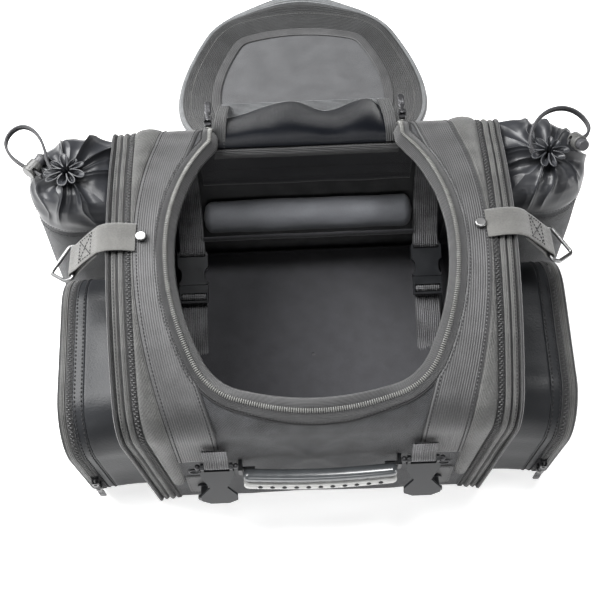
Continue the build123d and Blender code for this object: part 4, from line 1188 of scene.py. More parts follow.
def make_collar(side, sign, pleats, seed, rolls):
    """The gathered satin collar: puffed cloth drawn to a neck in deep pleats, and a frill above it."""
    around_count = 420
    base = bottle_plan(BOTTLE_TOP, around_count)
    middle = NECK[:2] + np.array([0, SET_BACK])
    angle = np.unwrap(np.arctan2(base[:, 1] - middle[1], base[:, 0] - middle[0]))
    reach = np.linalg.norm(base - middle, axis=1)
    sizes = (1.0, 1.01, 1.03, 0.97, 0.82, 0.62, 0.42, 0.27, 0.2)
    levels = (-6, 0, 14, 27, 37, 42.5, 44.5, 45.5, 47)
    shape = np.stack([sizes, levels], 1)
    shape[:, 1] += BOTTLE_TOP - shape[1, 1]
    run = np.concatenate([[0], np.cumsum(np.hypot(np.diff(shape[:, 0]) * BOTTLE_R, np.diff(shape[:, 1])))])
    steps = np.linspace(0, run[-1], 64)
    radial = smoothed(np.interp(steps, run, shape[:, 0]), 3)
    height = smoothed(np.interp(steps, run, shape[:, 1]), 3)
    rows = []
    for k, t in enumerate(steps / run[-1]):
        row = []
        for a, r in zip(angle, reach):
            twist = wobble(math.cos(a) * 40, math.sin(a) * 40, t * 46, 26.0, seed)
            turn = a + (0.3 + 0.5 * (1 - t)) * twist
            phase = pleats * turn
            ridge = 1 - abs(math.sin(phase / 2)) ** 0.75
            second = 1 - abs(math.sin((pleats + 4) * turn / 2 + seed)) ** 0.8
            grow = min(1.0, max(0.0, (t - 0.12) / 0.5)) ** 1.3
            fold = (ridge - 0.4) * 9.0 * grow + (second - 0.4) * 3.4 * grow
            crumple = wobble(math.cos(a) * 45, math.sin(a) * 45, t * 60, 22.0, seed + 9)
            fold += 6.0 * crumple * min(1, t * 5) * (1.15 - t)
            for at, when, wide, tall, slope in rolls:
                off = (turn - at - slope * (t - when) + math.pi) % TAU - math.pi
                fold += tall * hump(off, 0, wide) * hump(t, when, 0.2)
                fold -= tall * 0.7 * hump(off, wide * 1.5, wide * 0.7) * hump(t, when, 0.2)
            shift = -0.5 * grow * math.sin(phase) / pleats
            # the rim of the neck draws in; full size at the hem
            share = radial[k]
            blend = min(1.0, max(0.0, (1 - share) / 0.75))
            size = (r * (1 - blend) + BOTTLE_R * blend) * share
            tilt = min(1.0, t * 1.25)
            lift, push = fold * math.sin(tilt * math.pi / 2), fold * math.cos(tilt * math.pi / 2) * 0.6
            size += push * min(1, t * 6)
            size = max(size, 4.0 + 3.0 * ridge)
            x = NECK[0] + size * math.cos(a + shift)
            y = NECK[1] + SET_BACK * (1 - blend) + size * math.sin(a + shift)
            z = height[k] + lift
            z += 8.0 * max(0.0, math.sin(a)) * math.sin(math.pi * min(1.0, t * 1.05))
            sag = 3.5 + 4.5 * wobble(math.cos(a) * 40, math.sin(a) * 40, 3, 30.0, seed + 5)
            z -= sag * hump(t, 0.16, 0.12) * max(0.0, -math.sin(a))
            x = max(x, board_x(y, z) - 0.2)
            row.append((x, y, z))
        rows.append(row)
    neck_z = rows[-1][0][2]
    for t in np.linspace(0.08, 1, 16):
        row = []
        for a in angle:
            turn = a + 0.3 * wobble(math.cos(a) * 40, math.sin(a) * 40, 46, 26.0, seed)
            phase = pleats * turn
            ridge = 1 - abs(math.sin(phase / 2)) ** 0.75
            loop = 0.5 + 0.5 * math.cos(phase)
            ruffle = 1 + 0.45 * wobble(math.cos(a) * 30, math.sin(a) * 30, 9, 20.0, seed + 2)
            size = (4.0 + 3.0 * ridge) * (1 - t) + t * (4.5 + 14.5 * loop**0.7 * ruffle)
            shift = (-0.5 + 1.25 * t) * math.sin(phase) / pleats
            z = neck_z + 10.0 * t + 3.0 * t * (loop - 0.5) - 4.0 * t * t * loop
            row.append((NECK[0] + size * math.cos(a + shift), NECK[1] + size * math.sin(a + shift), z))
        rows.append(row)
    points = np.swapaxes(np.array(rows), 0, 1)
    piece(f"collar_hem_{side}", sided(tube(points[:, -1], 0.9, 8, True), sign), satin, "bag", (), "satin")
    uv = pairs(np.linspace(0, 290, len(points) + 1), np.linspace(0, 95, len(rows)))
    made = sided(grid(points, uv, wrap_i=True), sign)
    node = f"bottle_collar_{side}"
    obj = piece(f"collar_satin_{side}", made, satin, "bag", (node,), "satin", solid=-0.6, level=1)
    tall = (run[-1] + 15) * MM
    wide = sum(face.area for face in obj.data.polygons) / tall


# ---------------------------------------------------------------- shock cords and locks
# Routes repeat the CAD tubes' points, in metres
left_route = [
    (-0.2548, 0.122, 0.219), (-0.26, 0.129, 0.221), (-0.262, 0.141, 0.226), (-0.267, 0.154, 0.231),
    (-0.276, 0.165, 0.233), (-0.288, 0.171, 0.231), (-0.3, 0.167, 0.227), (-0.306, 0.156, 0.222),
    (-0.301, 0.1445, 0.2185), (-0.29, 0.134, 0.217), (-0.2775, 0.1258, 0.2164), (-0.266, 0.1175, 0.216),
]
right_route = [
    (0.2298, 0.1151, 0.2182), (0.224, 0.121, 0.2205), (0.223, 0.133, 0.226), (0.229, 0.147, 0.232),
    (0.241, 0.158, 0.236), (0.258, 0.163, 0.236), (0.272, 0.16, 0.233), (0.281, 0.151, 0.23),
    (0.2845, 0.14, 0.228), (0.279, 0.1315, 0.2266), (0.269, 0.1283, 0.226), (0.2605, 0.1263, 0.2262),
]
CORD = 0.003
STRAND_GAP = 0.0036


def strand(name, route, rise, material):
    """One strand of a cord's loop, along a route in metres."""
    curve = bpy.data.curves.new(name, "CURVE")
    curve.dimensions = "3D"
    line = curve.splines.new("NURBS")
    line.points.add(len(route) - 1)
    for point, place in zip(line.points, route):
        point.co = (place[0], place[1], place[2] + rise, 1)
    line.order_u = 3
    line.use_endpoint_u = True
    line.resolution_u = 12
    curve.bevel_depth = CORD / 2
    curve.bevel_resolution = 4
    curve.use_fill_caps = True
    curve.materials.append(material)
    obj = add_object(name, curve)
    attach(obj, "bag")
    return obj


def make_cords():
    """The shock cord loops, two strands each, and their locks."""
    for side, route, length in (("left", left_route, 0.146), ("right", right_route, 0.139)):
        for level, rise in (("low", 0.0), ("high", STRAND_GAP)):
            obj = strand(f"cord_{side}_{level}", route, rise, cord_sheath)
            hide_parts(f"shock_cord_{side}")
        finish_node(f"cord_lock_{side}", lock_body, 0.3)
        finish_node(f"lock_button_{side}", lock_cap, 0.3)


def finish_node(node, material, bevel=0.0):
    """A CAD node that is shown: its material and, where it helps, softened edges."""
    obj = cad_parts[node]
    obj.data.materials.clear()
    obj.data.materials.append(material)
    if bevel:
        soft = obj.modifiers.new("edges", "BEVEL")
        soft.width = bevel * MM
        soft.segments = 2
        soft.limit_method = "ANGLE"
        soft.angle_limit = math.radians(38)
        soft.harden_normals = True


# ---------------------------------------------------------------- lid
LID_LIFT = 2.6
LID_THICK = 3.0
RAMP = (143.0, 226.6)


def lid_place(x, y, lift):
    """A point of the lid: where it lies shut, turned back to where it lies open."""
    if y <= RAMP[0]:
        point, _ = body_point(x, run_of_y(y), lift, 0.0)
        at = point[1:]
    else:
        share = (y - RAMP[0]) / (HINGE[0] - RAMP[0])
        at = np.array([y, RAMP[1] + (HINGE[1] - RAMP[1]) * share + lift - LID_LIFT])
    off = at - np.array(HINGE)
    c, s = math.cos(LID_OPEN), math.sin(LID_OPEN)
    return np.array([x, HINGE[0] + c * off[0] - s * off[1], HINGE[1] + s * off[0] + c * off[1]])


def lid_edge(grow, count=260):
    """The lid's edge in plan, from the rear right round the front to the rear left, back to the ramp."""
    line = opening(grow, 300, run_of_y(RAMP[0]))
    ys = np.interp(line[:, 1], top_runs, top_ys)
    return resample(np.stack([line[:, 0], ys], 1), count)


def lid_loop(grow, neck):
    """The same edge closed across the neck at the hinge."""
    edge = lid_edge(grow)
    half = THROAT_HALF - neck
    extra = [(-half, RAMP[0] + 1), (-half, HINGE[0] - 1), (half, HINGE[0] - 1), (half, RAMP[0] + 1)]
    return resample(np.vstack([edge, extra]), 300, True)


def lid_ring(g1, g2, lift, cells, crown):
    """A band of the lid between two growths of the opening, sunk by the crown along its middle."""
    a, b = lid_edge(g1), lid_edge(g2)
    share = np.linspace(0, 1, cells + 1)
    levels = [lift - crown * (1 - (2 * t - 1) ** 2) for t in share]
    points = [[lid_place(*(p * (1 - t) + q * t), w) for t, w in zip(share, levels)] for p, q in zip(a, b)]
    run = np.arange(len(a)) * length_of(a) / len(a)
    return grid(np.array(points), pairs(run, share * abs(g1 - g2)))


def lid_line(edge, lift):
    """A line along the lid's edge, with the directions that face out of the open lid's underside."""
    spots = np.array([lid_place(x, y, lift) for x, y in edge])
    under = np.array([lid_place(x, y, lift - 1) for x, y in edge])
    return spots, unit(under - spots)


def make_lid():
    """The lid's shell and lining, its bound edge, dark band, inner webbing, stitches and zip teeth."""
    shell = fan(lid_loop(8.0, 7.0), lambda s: LID_LIFT + LID_THICK, 40, lid_place, 1.1, 2.0)
    piece("lid_shell", shell, nylon, "lid", ("lid_panel",), "nylon", solid=1.2)
    sunk = lambda s: LID_LIFT - 0.4 - 1.6 * (1 - s**4)
    lining = fan(lid_loop(-39.0, 9.0), sunk, 40, lid_place, 1.4, 11.0)
    piece("lid_lining_cloth", lining, lid_lining, "lid", ("lid_lining",), "lining_grey")
    for name, ring, look, slot, solid in (
        ("lid_edge_binding", (8.6, 4.6, LID_LIFT - 0.2, 4, 0.5), pale_binding, "binding", 1.0),
        ("lid_dark_band", (4.6, -30.0, LID_LIFT - 0.5, 16, 0.6), lid_band, "webbing", 0.8),
        ("lid_inner_webbing", (-29.5, -40.0, LID_LIFT - 1.0, 8, 0.4), webbing, "webbing", 1.2),
    ):
        piece(name, lid_ring(*ring), look, "lid", (), slot, solid=solid)
    edge = lid_edge(8.8, 300)
    spots = np.array([lid_place(x, y, LID_LIFT + LID_THICK / 2) for x, y in edge])
    piece("lid_edge_bead", tube(spots, 1.7, 10), pale_binding, "lid", (), "binding")
    rows = []
    for grow, sunk in ((3.8, 0.5), (-1.0, 0.6), (-28.4, 0.8), (-31.0, 1.2), (-38.4, 1.2)):
        rows.append(stitches(*lid_line(lid_edge(grow), LID_LIFT - sunk), 3.4, 2.2, 0.4, 0.2))
    piece("lid_stitches", join(rows), thread_and_shade, "lid", (), "webbing")
    chain = every(np.hstack(lid_line(lid_edge(-4.6, 900), 1.6)), COIL_PITCH)
    spots, up = chain[:, :3], unit(chain[:, 3:])
    along = tangents(spots)
    teeth = beads(spots, along, np.cross(up, along), up, (0.72, 2.3, 0.9))
    piece("lid_zip_coil", teeth, coil_pale, "lid", ("lid_zip",), "coil_zip")


def make_pouch():
    """The glossy pouch on the lid: a wavy sheet, open along its far edge, its foot over the hinge."""
    low, high = box("document_pouch")
    half = (high[0] - low[0]) / 2
    mouth = 90.0
    under_lid = LID_LIFT - 1.4
    foot, near, over = np.array([156.5, 202.6]), np.array([168.0, 217.0]), np.array([205.0, 196.0])
    crests = np.array([(-95, -11.0), (-14, 6.0), (25, -6.5), (71, 6.0), (95, -9.0)])
    shares = np.linspace(0, 1, 76)

    def crest(x):
        """Height of the folds across the sheet: two crests with a dip between them."""
        left = min(len(crests) - 2, max(0, int(np.searchsorted(crests[:, 0], x)) - 1))
        share = (x - crests[left, 0]) / (crests[left + 1, 0] - crests[left, 0])
        ease = (1 - math.cos(math.pi * share)) / 2
        return crests[left, 1] + (crests[left + 1, 1] - crests[left, 1]) * ease

    def span(x, far_y, rise, fold, lift=0.0):
        """A line of the sheet, from its foot on the sill over the hinge to its far edge above the lid."""
        bend = [foot, near, over + np.array([0.42, 0.9]) * fold, lid_place(x, far_y, under_lid - rise)[1:]]
        line = []
        for t in shares:
            weights = [c * (1 - t) ** (3 - k) * t**k for k, c in enumerate((1, 3, 3, 1))]
            y, z = sum(w * p for w, p in zip(weights, bend))
            swing = 2.4 * wobble(x, y * 0.5, 1.0, 26.0, 6.0) * math.sin(math.pi * t) + lift
            line.append((x, y + 0.42 * swing, z + 0.9 * swing))
        return line

    def bent(obj):
        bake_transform(obj)

    xs = np.linspace(-half, half, 150)
    points = np.array([span(x, mouth, 15 + crest(x), 0.7 * crest(x)) for x in xs])
    sheet = grid(points, pairs(xs, shares * 110))
    bent(piece("pouch_front", sheet, tarpaulin, None, ("document_pouch",), "pvc", solid=0.7))
    piece("pouch_hem", tube(points[:, -1], 0.9, 8), pale_binding, "lid", (), "pvc")
    back = [[lid_place(x, mouth - drop / 4, under_lid - drop) for drop in (2, 8, 14, 20)] for x in xs]
    piece("pouch_back", grid(np.array(back), pairs(xs, (0, 6, 12, 18))), pale_binding, "lid", (), "pvc")
    strips, seams = [], []
    for sign in (1, -1):
        wide = np.linspace(-9, 4, 9)
        rows = np.array([span(sign * (half + w), mouth - 5, 17, 0, 0.8) for w in wide])
        strips.append(grid(rows, pairs(wide, shares * 110)[..., ::-1]))
        for k in (1, 7):
            level = np.tile([0, -0.2, 1.0], (len(rows[k]), 1))
            seams.append(stitches(rows[k], level, 3.2, 2.0, 0.35, 0.5))
    bent(piece("pouch_end_tapes", join(strips), lid_band, None, (), "webbing", solid=1.3))
    bent(piece("pouch_stitches", join(seams), thread_grey, None, (), "webbing"))


# ---------------------------------------------------------------- inside
def make_floor_pad():
    """The puckered pad on the floor, its hem, and the board under it."""
    low, high = box("floor_pad")
    corners = [(low[0], low[1]), (low[0], high[1]), (high[0], high[1]), (high[0], low[1])]
    rounding = [12] * 4

    def place(u, v, w):
        edge = min(u - low[0], high[0] - u, v - low[1], high[1] - v)
        pucker = 0.9 * wobble(u, v, 0, 5.0, 1.0) * hump(edge, 4, 6) + 1.1 * wobble(u, v, 2.0, 46.0, 3.0)
        fade = min(1.0, edge / 4)
        return np.array([u, v, high[2] - 2.2 + 2.4 * fade**0.5 + pucker * fade + w])

    pad = fan(resample(rounded(corners, rounding), 360, True), lambda s: 0.0, 60, place)
    piece("floor_pad_cloth", pad, lining_black, "bag", ("floor_pad",), "lining_black", solid=-4.0)
    rim = np.array([[u, v, high[2] - 1.0] for u, v in resample(rounded(corners, rounding), 500, True)])
    fat = 2.0 + 0.35 * wobbles(rim, 7.0, 4.0)
    piece("floor_pad_hem", tube(rim, fat, 10, True), binding, "bag", (), "lining_black")
    finish_node("floor_board", moulded("press_board", (0.05, 0.05, 0.05), rough=0.7))


def make_rolled_lining():
    """The lining's spare cloth, rolled up behind the bands, and its hem tucked in front."""
    low, high = box("lining_roll")
    middle = (low + high) / 2
    roll_half = high[0] + 5
    rows, xs = [], np.linspace(-roll_half, roll_half, 120)
    for x in xs:
        end = min(1.0, (roll_half - abs(x)) / 10)
        size = 0.05 + 0.95 * math.sqrt(max(0.0, 1 - (1 - end) ** 2))
        dent = 0.05 * wobble(x, 0, 0, 60.0, 2.0)
        row = []
        for a in np.linspace(0, TAU, 64, endpoint=False):
            c, s = math.cos(a), math.sin(a)
            spread = size * (1 + dent + 0.035 * wobble(x, 30 * c, 30 * s, 38.0, 5.0))
            spread += 0.012 * wobble(x, 60 * c, 60 * s, 9.0, 1.0)
            row.append((x, middle[1] + 3 + 18 * c * spread, middle[2] + 9 + 17.5 * s * spread))
        rows.append(row)
    made = grid(np.array(rows), pairs(xs, np.linspace(0, 155, 65)), wrap_j=True)
    roll = piece("rolled_lining", made, lining_grey, "bag", ("lining_roll",), "lining_grey")
    tuck = [(-15.0, -24.5), (-18.6, -22.0), (-20.4, -18.5), (-20.6, -14.5), (-19.0, -12.5)]
    hem = []
    for x in np.linspace(-roll_half - 2, roll_half + 2, 220):
        wave = 0.7 * wobble(x, 0, 0, 8.0, 9.0) + 1.2 * wobble(x, 0, 5, 60.0, 2.0)
        hem.append([(x, middle[1] + 4 + y, middle[2] + 10 + z + wave) for y, z in tuck])
    made = grid(np.array(hem), pairs(np.linspace(0, 230, 220), np.linspace(0, 14, 5)))
    piece("roll_hem", made, lining_black, "bag", (), "lining_black", solid=1.2, level=1)


def make_rear_facing():
    """The rear wall's inner facing with three rows of stitches."""
    low, high = box("rear_facing")

    def wave(x, z):
        return 1.2 * wobble(x, z, 0, 40.0, 8.0)

    rows, xs = [], np.linspace(low[0], high[0], 120)
    for z in np.linspace(low[2] - 1, high[2] + 1, 40):
        rows.append([(x, low[1] + 0.4 + wave(x, z) - 0.9 * hump(z, low[2] + 3, 3), z) for x in xs])
    made = grid(np.array(rows), pairs(np.linspace(0, 70, 40), np.linspace(0, 228, 120)))
    piece("facing_cloth", made, lining_black, "bag", ("rear_facing",), "lining_black", solid=0.9)
    seams, xs = [], np.linspace(low[0] + 3, high[0] - 3, 100)
    for z in (low[2] + 9, low[2] + 26, high[2] - 8):
        line = np.array([(x, low[1] - 0.2 + wave(x, z), z) for x in xs])
        seams.append(stitches(line, np.tile([0, -1.0, 0], (100, 1)), 3.2, 2.2, 0.35, 0.1))
    piece("facing_stitches", join(seams), thread_grey, "bag", (), "webbing")


def make_hinge_tape():
    """The binding folded over the sill under the lid's hinge, with three rows of stitches."""
    low, high = box("hinge_binding")
    front, foot, rear, top = low[1], low[2], high[1], high[2]
    fold = [(front - 5.5, foot - 6), (front - 5.2, foot - 2), (front - 3.6, top - 0.8)]
    fold += [(front + 3, top + 0.8), (rear - 5, top + 1.2), (rear - 1, top + 0.8), (rear, top - 0.5)]

    def swing(x, y):
        return 0.8 * wobble(x, y, 0, 50.0, 5.0)

    rows, xs = [], np.linspace(low[0], high[0], 140)
    for y, z in fold:
        rows.append([(x, y, z + 0.5 * wobble(x, y, 0, 14.0, 2.0) + swing(x, y)) for x in xs])
    made = grid(np.array(rows), pairs(np.linspace(0, 24, 7), np.linspace(0, 192, 140))[..., ::-1])
    piece("hinge_tape", made, binding, "bag", ("hinge_binding",), "binding", solid=1.0, level=1)
    seams, xs = [], np.linspace(low[0] + 2, high[0] - 2, 420)
    for y in (front - 2.5, front + 3.5, front + 9):
        line = np.array([(x, y + 0.9 * math.sin(x * 1.6), top + 1.4 + swing(x, y)) for x in xs])
        seams.append(stitches(line, np.tile([0, 0, 1.0], (420, 1)), 2.4, 1.8, 0.35, 0.1))
    piece("hinge_stitches", join(seams), thread_grey, "bag", (), "webbing")


def strap_mesh(points, path, loop):
    """The mesh of a strap whose loops of points follow a path."""
    wide = np.concatenate([[a for a, _ in loop], [loop[0][0]]])
    return grid(np.array(points), pairs(travel(path), wide), wrap_j=True)


def strap(path, half, x, thick=1.5, ribs=10, ripple=0.25):
    """A flat strap whose middle follows a (y, z) path at one x."""
    path = smoothed(resample(path, max(8, int(length_of(path) / 2))), 2)
    loop = []
    for share in np.linspace(-1, 1, 45):
        rib = ripple * math.cos(math.pi * ribs * share) if abs(share) < 0.94 else 0.0
        loop.append((share * half, thick / 2 + rib - 0.5 * (abs(share) > 0.97)))
    loop += [(-a, -b) for a, b in loop]
    out = turned_left(tangents(path))
    points = [[(x + a, p[0] + n[0] * b, p[1] + n[1] * b) for a, b in loop] for p, n in zip(path, out)]
    return strap_mesh(points, path, loop)


def make_inner_straps():
    """The two straps inside, each in two halves joined by a side-release buckle."""
    socket_low, socket_high = box("buckle_socket_right")
    x = (socket_low[0] + socket_high[0]) / 2
    half = box("inner_straps_upper")[1][0] - x
    slope = math.radians(25)
    along = np.array([-math.cos(slope), -math.sin(slope)])
    across = np.array([-math.sin(slope), math.cos(slope)])
    origin = np.array([118.0, 68.0])

    def local(s, n):
        return tuple(origin + along * s + across * n)

    upper = [(164.5, 172), (161.5, 150), (158.0, 132), (147.5, 108), (135.5, 88), (126.5, 77)]
    upper += [local(-4, 4.8), local(3.4, 4.6), local(5, 1.0), local(4.4, -4.4), local(-6, -3.2), (127, 70)]
    lower = [local(44, -6.4), local(62, -6.6), (50, 31.5), (27, 20.8), (12, 15.8), (-6, 14.6)]
    for name, path in (("upper", upper), ("lower", lower)):
        made = both(strap(path, half, x))
        piece(f"strap_webbing_{name}", made, strap_webbing, "bag", (f"inner_straps_{name}",), "webbing")
    wrap = [local(43, -4.9), local(47.6, -3.4), local(49.0, 2.0), local(50.5, 4.6)]
    wrap += [local(53.0, 4.6), local(54.6, 2.0), local(55.2, -3.4), local(60, -5.0)]
    for side, sign in SIDES:
        made = sided(strap(wrap, half - 0.6, x), sign)
        piece(f"adjuster_webbing_{side}", made, strap_webbing, f"prong_{side}", (), "webbing")
        finish_node(f"buckle_socket_{side}", buckle_plastic, 0.7)
        finish_node(f"buckle_prong_{side}", buckle_plastic, 0.5)
    seams = []
    for y, z in ((142.5, 99.5), (139.5, 94.5)):
        line = np.array([(x + a, y, z + 0.6) for a in np.linspace(-half + 2, half - 2, 24)])
        seams.append(both(stitches(line, np.tile(unit([0, -0.85, 0.5]), (24, 1)), 2.6, 1.8, 0.4, 1.4)))
    piece("strap_stitches", join(seams), thread_grey, "bag", (), "webbing")


# ---------------------------------------------------------------- outside hardware
def make_ring_tabs():
    """Webbing tabs over each rim: riveted on the top, hanging outside round the ring's bar."""
    low, high = box("ring_tabs")
    ring_low, ring_high = box("side_ring_right")
    tab_y = (ring_low[1] + ring_high[1]) / 2
    half = (high[1] - low[1]) / 2
    path = [(163.5, 241.0), (168, 241.9), (178, 243.9), (190, 244.0), (199, 240.6), (214, 225.0)]
    path += [(226.5, 210.4), (230.6, 206.8), (233.4, 203.4), (231.9, 199.6), (228.2, 199.0)]
    path += [(225.2, 201.4), (223.4, 206.5), (213, 219.5), (200, 235.5)]
    path = smoothed(resample(path, 90), 3)
    out = turned_left(tangents(path))
    loop = []
    for share in np.linspace(-1, 1, 41):
        rib = 0.05 * math.cos(math.pi * 17 * share) if abs(share) < 0.93 else -0.25
        loop.append((share * half, 0.85 + rib))
    loop += [(-a, -b) for a, b in loop]
    points = [[(p[0] + n[0] * b, tab_y + a, p[1] + n[1] * b) for a, b in loop] for p, n in zip(path, out)]
    made = both(strap_mesh(points, path, loop))
    piece("ring_tab_webbing", made, tab_webbing, "bag", ("ring_tabs",), "webbing")
    run = travel(path)
    near, far, edge = 46.0, 66.0, half - 3.5
    square = [(near, -edge), (far, -edge), (far, edge), (near, edge), (near, -edge)]
    cross = []
    seam = square + [(far, edge), (far, -edge), (near, edge)]
    for a, b in zip(seam[:-1], seam[1:]):
        line = resample([a, b], 12)
        lift = np.array(
            [(np.interp(s, run, out[:, 0]), 0.0, np.interp(s, run, out[:, 1])) for s, _ in line]
        )
        lift *= np.sign(lift[:, 2:])
        spots = [(np.interp(s, run, path[:, 0]), tab_y + w, np.interp(s, run, path[:, 1])) for s, w in line]
        cross.append(stitches(np.array(spots) + lift * 0.95, lift, 3.0, 2.3, 0.55, 0.2))
    piece("ring_tab_stitches", both(join(cross)), thread_and_shade, "bag", (), "webbing")


def pull_shape(length, wide, thick):
    """A zip pull hanging from the origin along -Z, its faces along Y: neck, ribbed grip, and rounded end."""
    outline = [(0, 2.2), (1.7, 1.4), (2.0, -1.5), (1.8, -5.0), (wide / 2, -8.5)]
    outline += [(wide / 2, -length + 2.5), (wide / 2 - 1.6, -length), (0, -length)]
    half = resample(outline, 40)
    loop = np.vstack([half, (half * [-1, 1])[::-1][1:-1]])
    middle = np.array([0, -length * 0.55])
    rows = []
    for share in np.linspace(0, 1, 15):
        flat = middle + (loop - middle) * share
        across, along = flat[:, 0], flat[:, 1]
        bulge = thick / 2 * (1 - 0.55 * share**6)
        ribbed = (along < -9) & (along > -length + 3) & (np.abs(across) < wide / 2 - 0.9)
        rib = np.where(ribbed, 0.22 * np.sin(along * 3.4), 0)
        rows.append(np.stack([across, -(bulge + rib), along], 1))
    front = np.array(rows)
    made = np.vstack([front, front[::-1] * [1, -1, 1]])
    return grid(made, pairs(np.arange(len(made) + 0.0), np.arange(len(loop) + 1.0)), wrap_j=True)


def turned(made, turn, place, sign=1):
    """Mesh data turned about an axis, moved to its place and set on its side."""
    points = made[0] @ np.array(Matrix.Rotation(turn[1], 3, turn[0])).T + np.array(place)
    return sided((points, made[1], made[2]), sign)


# Where the side pockets' pulls hang from, on the right
PULL_PLACES = (("lower", (226.026, -146.504, 39.7877)), ("upper", (226.867, -146.547, 52.7603)))


def make_pulls():
    """The zip pulls: two with wire rings on each side pocket, and two on the main zip."""
    ring = np.array([(u, -1.2, v) for u, v in circle(0, -1.0, 2.6, 20)])
    pull_turn = ("Z", math.atan2(-SPLAY, 1))
    for side, sign in SIDES:
        for which, place in PULL_PLACES:
            low, high = box(f"pocket_pull_{which}_right")
            body, node = f"pull_{which}_{side}", f"pocket_pull_{which}_{side}"
            shape = pull_shape(place[2] - low[2], high[0] - low[0] - 0.4, 1.9)
            made = turned(shape, pull_turn, place, sign)
            piece(f"zip_pull_{which}_{side}", made, gunmetal, body, (node,), "gunmetal", level=1)
            made = turned(tube(ring, 0.6, 8, True), pull_turn, place, sign)
            piece(f"zip_pull_{which}_ring_{side}", made, steel, body, (), "gunmetal")
        low, high = box("main_pull_right")
        place = np.array([100.25, 179, 222.9])
        made = pull_shape(high[1] - place[1], high[0] - low[0] - 0.4, 2.0)
        flat = (made[0] @ np.array([[1, 0, 0], [0, 0, 1], [0, -1, 0]]), made[1], made[2])
        name = f"main_pull_{side}"
        made = turned(flat, ("X", 0.0), place, sign)
        piece(f"main_zip_pull_{side}", made, gunmetal, name, (name,), "gunmetal", level=1)


def make_handle():
    """The grip: a slim glossy sleeve and its paler lower lip, with dark oval pips of painted shade for the
    lip's row of holes.
    """
    low, high = box("handle_grip")
    half = high[0]
    middle = (low + high) / 2
    count = 11
    holes = [-half + 16 + 2 * (half - 16) / (count - 1) * k for k in range(count)]
    tip = [0, 0.4, 1.2, 2.6]
    xs = [-half + t for t in tip] + list(np.linspace(-half + 4.5, half - 4.5, 340))
    xs += [half - t for t in tip[::-1]]
    angles = np.linspace(0, TAU, 80, endpoint=False)

    def bow(x):
        """How far the grip bends forward at x."""
        return -3.0 * math.cos(math.pi * x / (2 * half))

    def squared(a):
        """A point of the section, rounder than a square and squarer than a circle."""
        y, z = -math.cos(a), math.sin(a)
        size = 1 / (abs(y) ** 2.6 + abs(z) ** 2.6) ** (1 / 2.6)
        return y * size, z * size

    rows, lips = [], []
    for x in xs:
        end = min(1.0, (half - abs(x)) / 5.0)
        size = 0.4 + 0.6 * math.sqrt(max(0.0, 1 - (1 - end) ** 2))
        y0, z0 = middle[1] + bow(x), middle[2]
        sleeve = [squared(a) for a in angles]
        rows.append([(x, y0 + 2 + 6.2 * y * size, z0 + 2.5 + 5.6 * z * size) for y, z in sleeve])
        lips.append([(x, y0 - 2.6 + 5.0 * y * size, z0 - 6.6 + 4.6 * z * size) for y, z in sleeve[::2]])
    # the holes are not cut: dark pips on the lip stand in for them as painted shade of their hollows
    spots = np.stack([holes, [middle[1] - 6.6 + bow(x) for x in holes], np.full(count, middle[2] - 4.6)], 1)
    facing = np.tile(unit([0, -0.8, 0.6]), (count, 1))
    level = np.tile([1.0, 0, 0], (count, 1))
    hole_shades = beads(spots, level, np.cross(facing, level), facing, (2.9, 1.9, 1.3), 14, 7)
    piece("grip_hole_shade", hole_shades, thread_and_shade, "handle", (), "grip")
    for name, loops, look, nodes in (
        ("grip_sleeve", rows, grip_plastic, ("handle_grip",)),
        ("grip_lip", lips, grip_pale, ()),
    ):
        core = np.array(loops).mean(1)
        wide = len(loops[0])
        capped = np.array([[core[0]] * wide, *loops, [core[-1]] * wide])
        made = grid(capped, pairs([-half, *xs, half], np.linspace(0, 50, wide + 1)), wrap_j=True)
        piece(name, made, look, "handle", nodes, "grip", weld=True)


def make_bar_tabs():
    """Webbing loops that hold each buckle's bar: down from the band, round the bar and back up."""
    low, high = box("bar_tabs")
    bar_low, bar_high = box("buckle_bars")
    bar_y, bar_z = (bar_low[1] + bar_high[1]) / 2, (bar_low[2] + bar_high[2]) / 2
    plate_low, plate_high = box("buckle_plate_right")
    x = (plate_low[0] + plate_high[0]) / 2
    round_bar = [(2.4, 9), (-0.6, 3.2), (-3.2, 0.4), (-1.4, -2.9), (1.8, -2.6), (4.0, 2)]
    path = [(low[1] + 7.5, high[2])] + [(bar_y + y, bar_z + z) for y, z in round_bar]
    made = both(strap(path, high[0] - x, x, 1.6, 14, 0.22))
    piece("bar_tab_webbing", made, strap_webbing, "bag", ("bar_tabs",), "webbing")


def make_corner_patches():
    """Webbing patches sewn to the front wall, under the lashing studs."""
    low, high = box("corner_patches")
    half_wide, half_tall, corner = 17.0, 26.0, 5.0
    middle = high[0] - half_wide
    level = run_at(((low[1] + high[1]) / 2, (low[2] + high[2]) / 2))
    corners = [(a * half_wide, b * half_tall) for a, b in ((-1, -1), (1, -1), (1, 1), (-1, 1))]
    outline = resample(rounded(corners, [corner] * 4), 200, True) + (middle, level)
    rise = lambda share: 0.1 + 1.8 * (1 - share**30)
    patch = fan(outline, rise, 60, lambda u, v, w: body_point(u, v, w)[0])
    piece("corner_patch_webbing", both(patch), webbing, "bag", ("corner_patches",), "webbing")
    seam = (outline - (middle, level)) * (0.84, 0.9) + (middle, level)
    spots, up = on_body(seam, 2.0)
    made = both(stitches(spots, up, 3.0, 2.0, 0.3, 0.0, True))
    piece("corner_patch_stitches", made, thread_grey, "bag", (), "webbing")


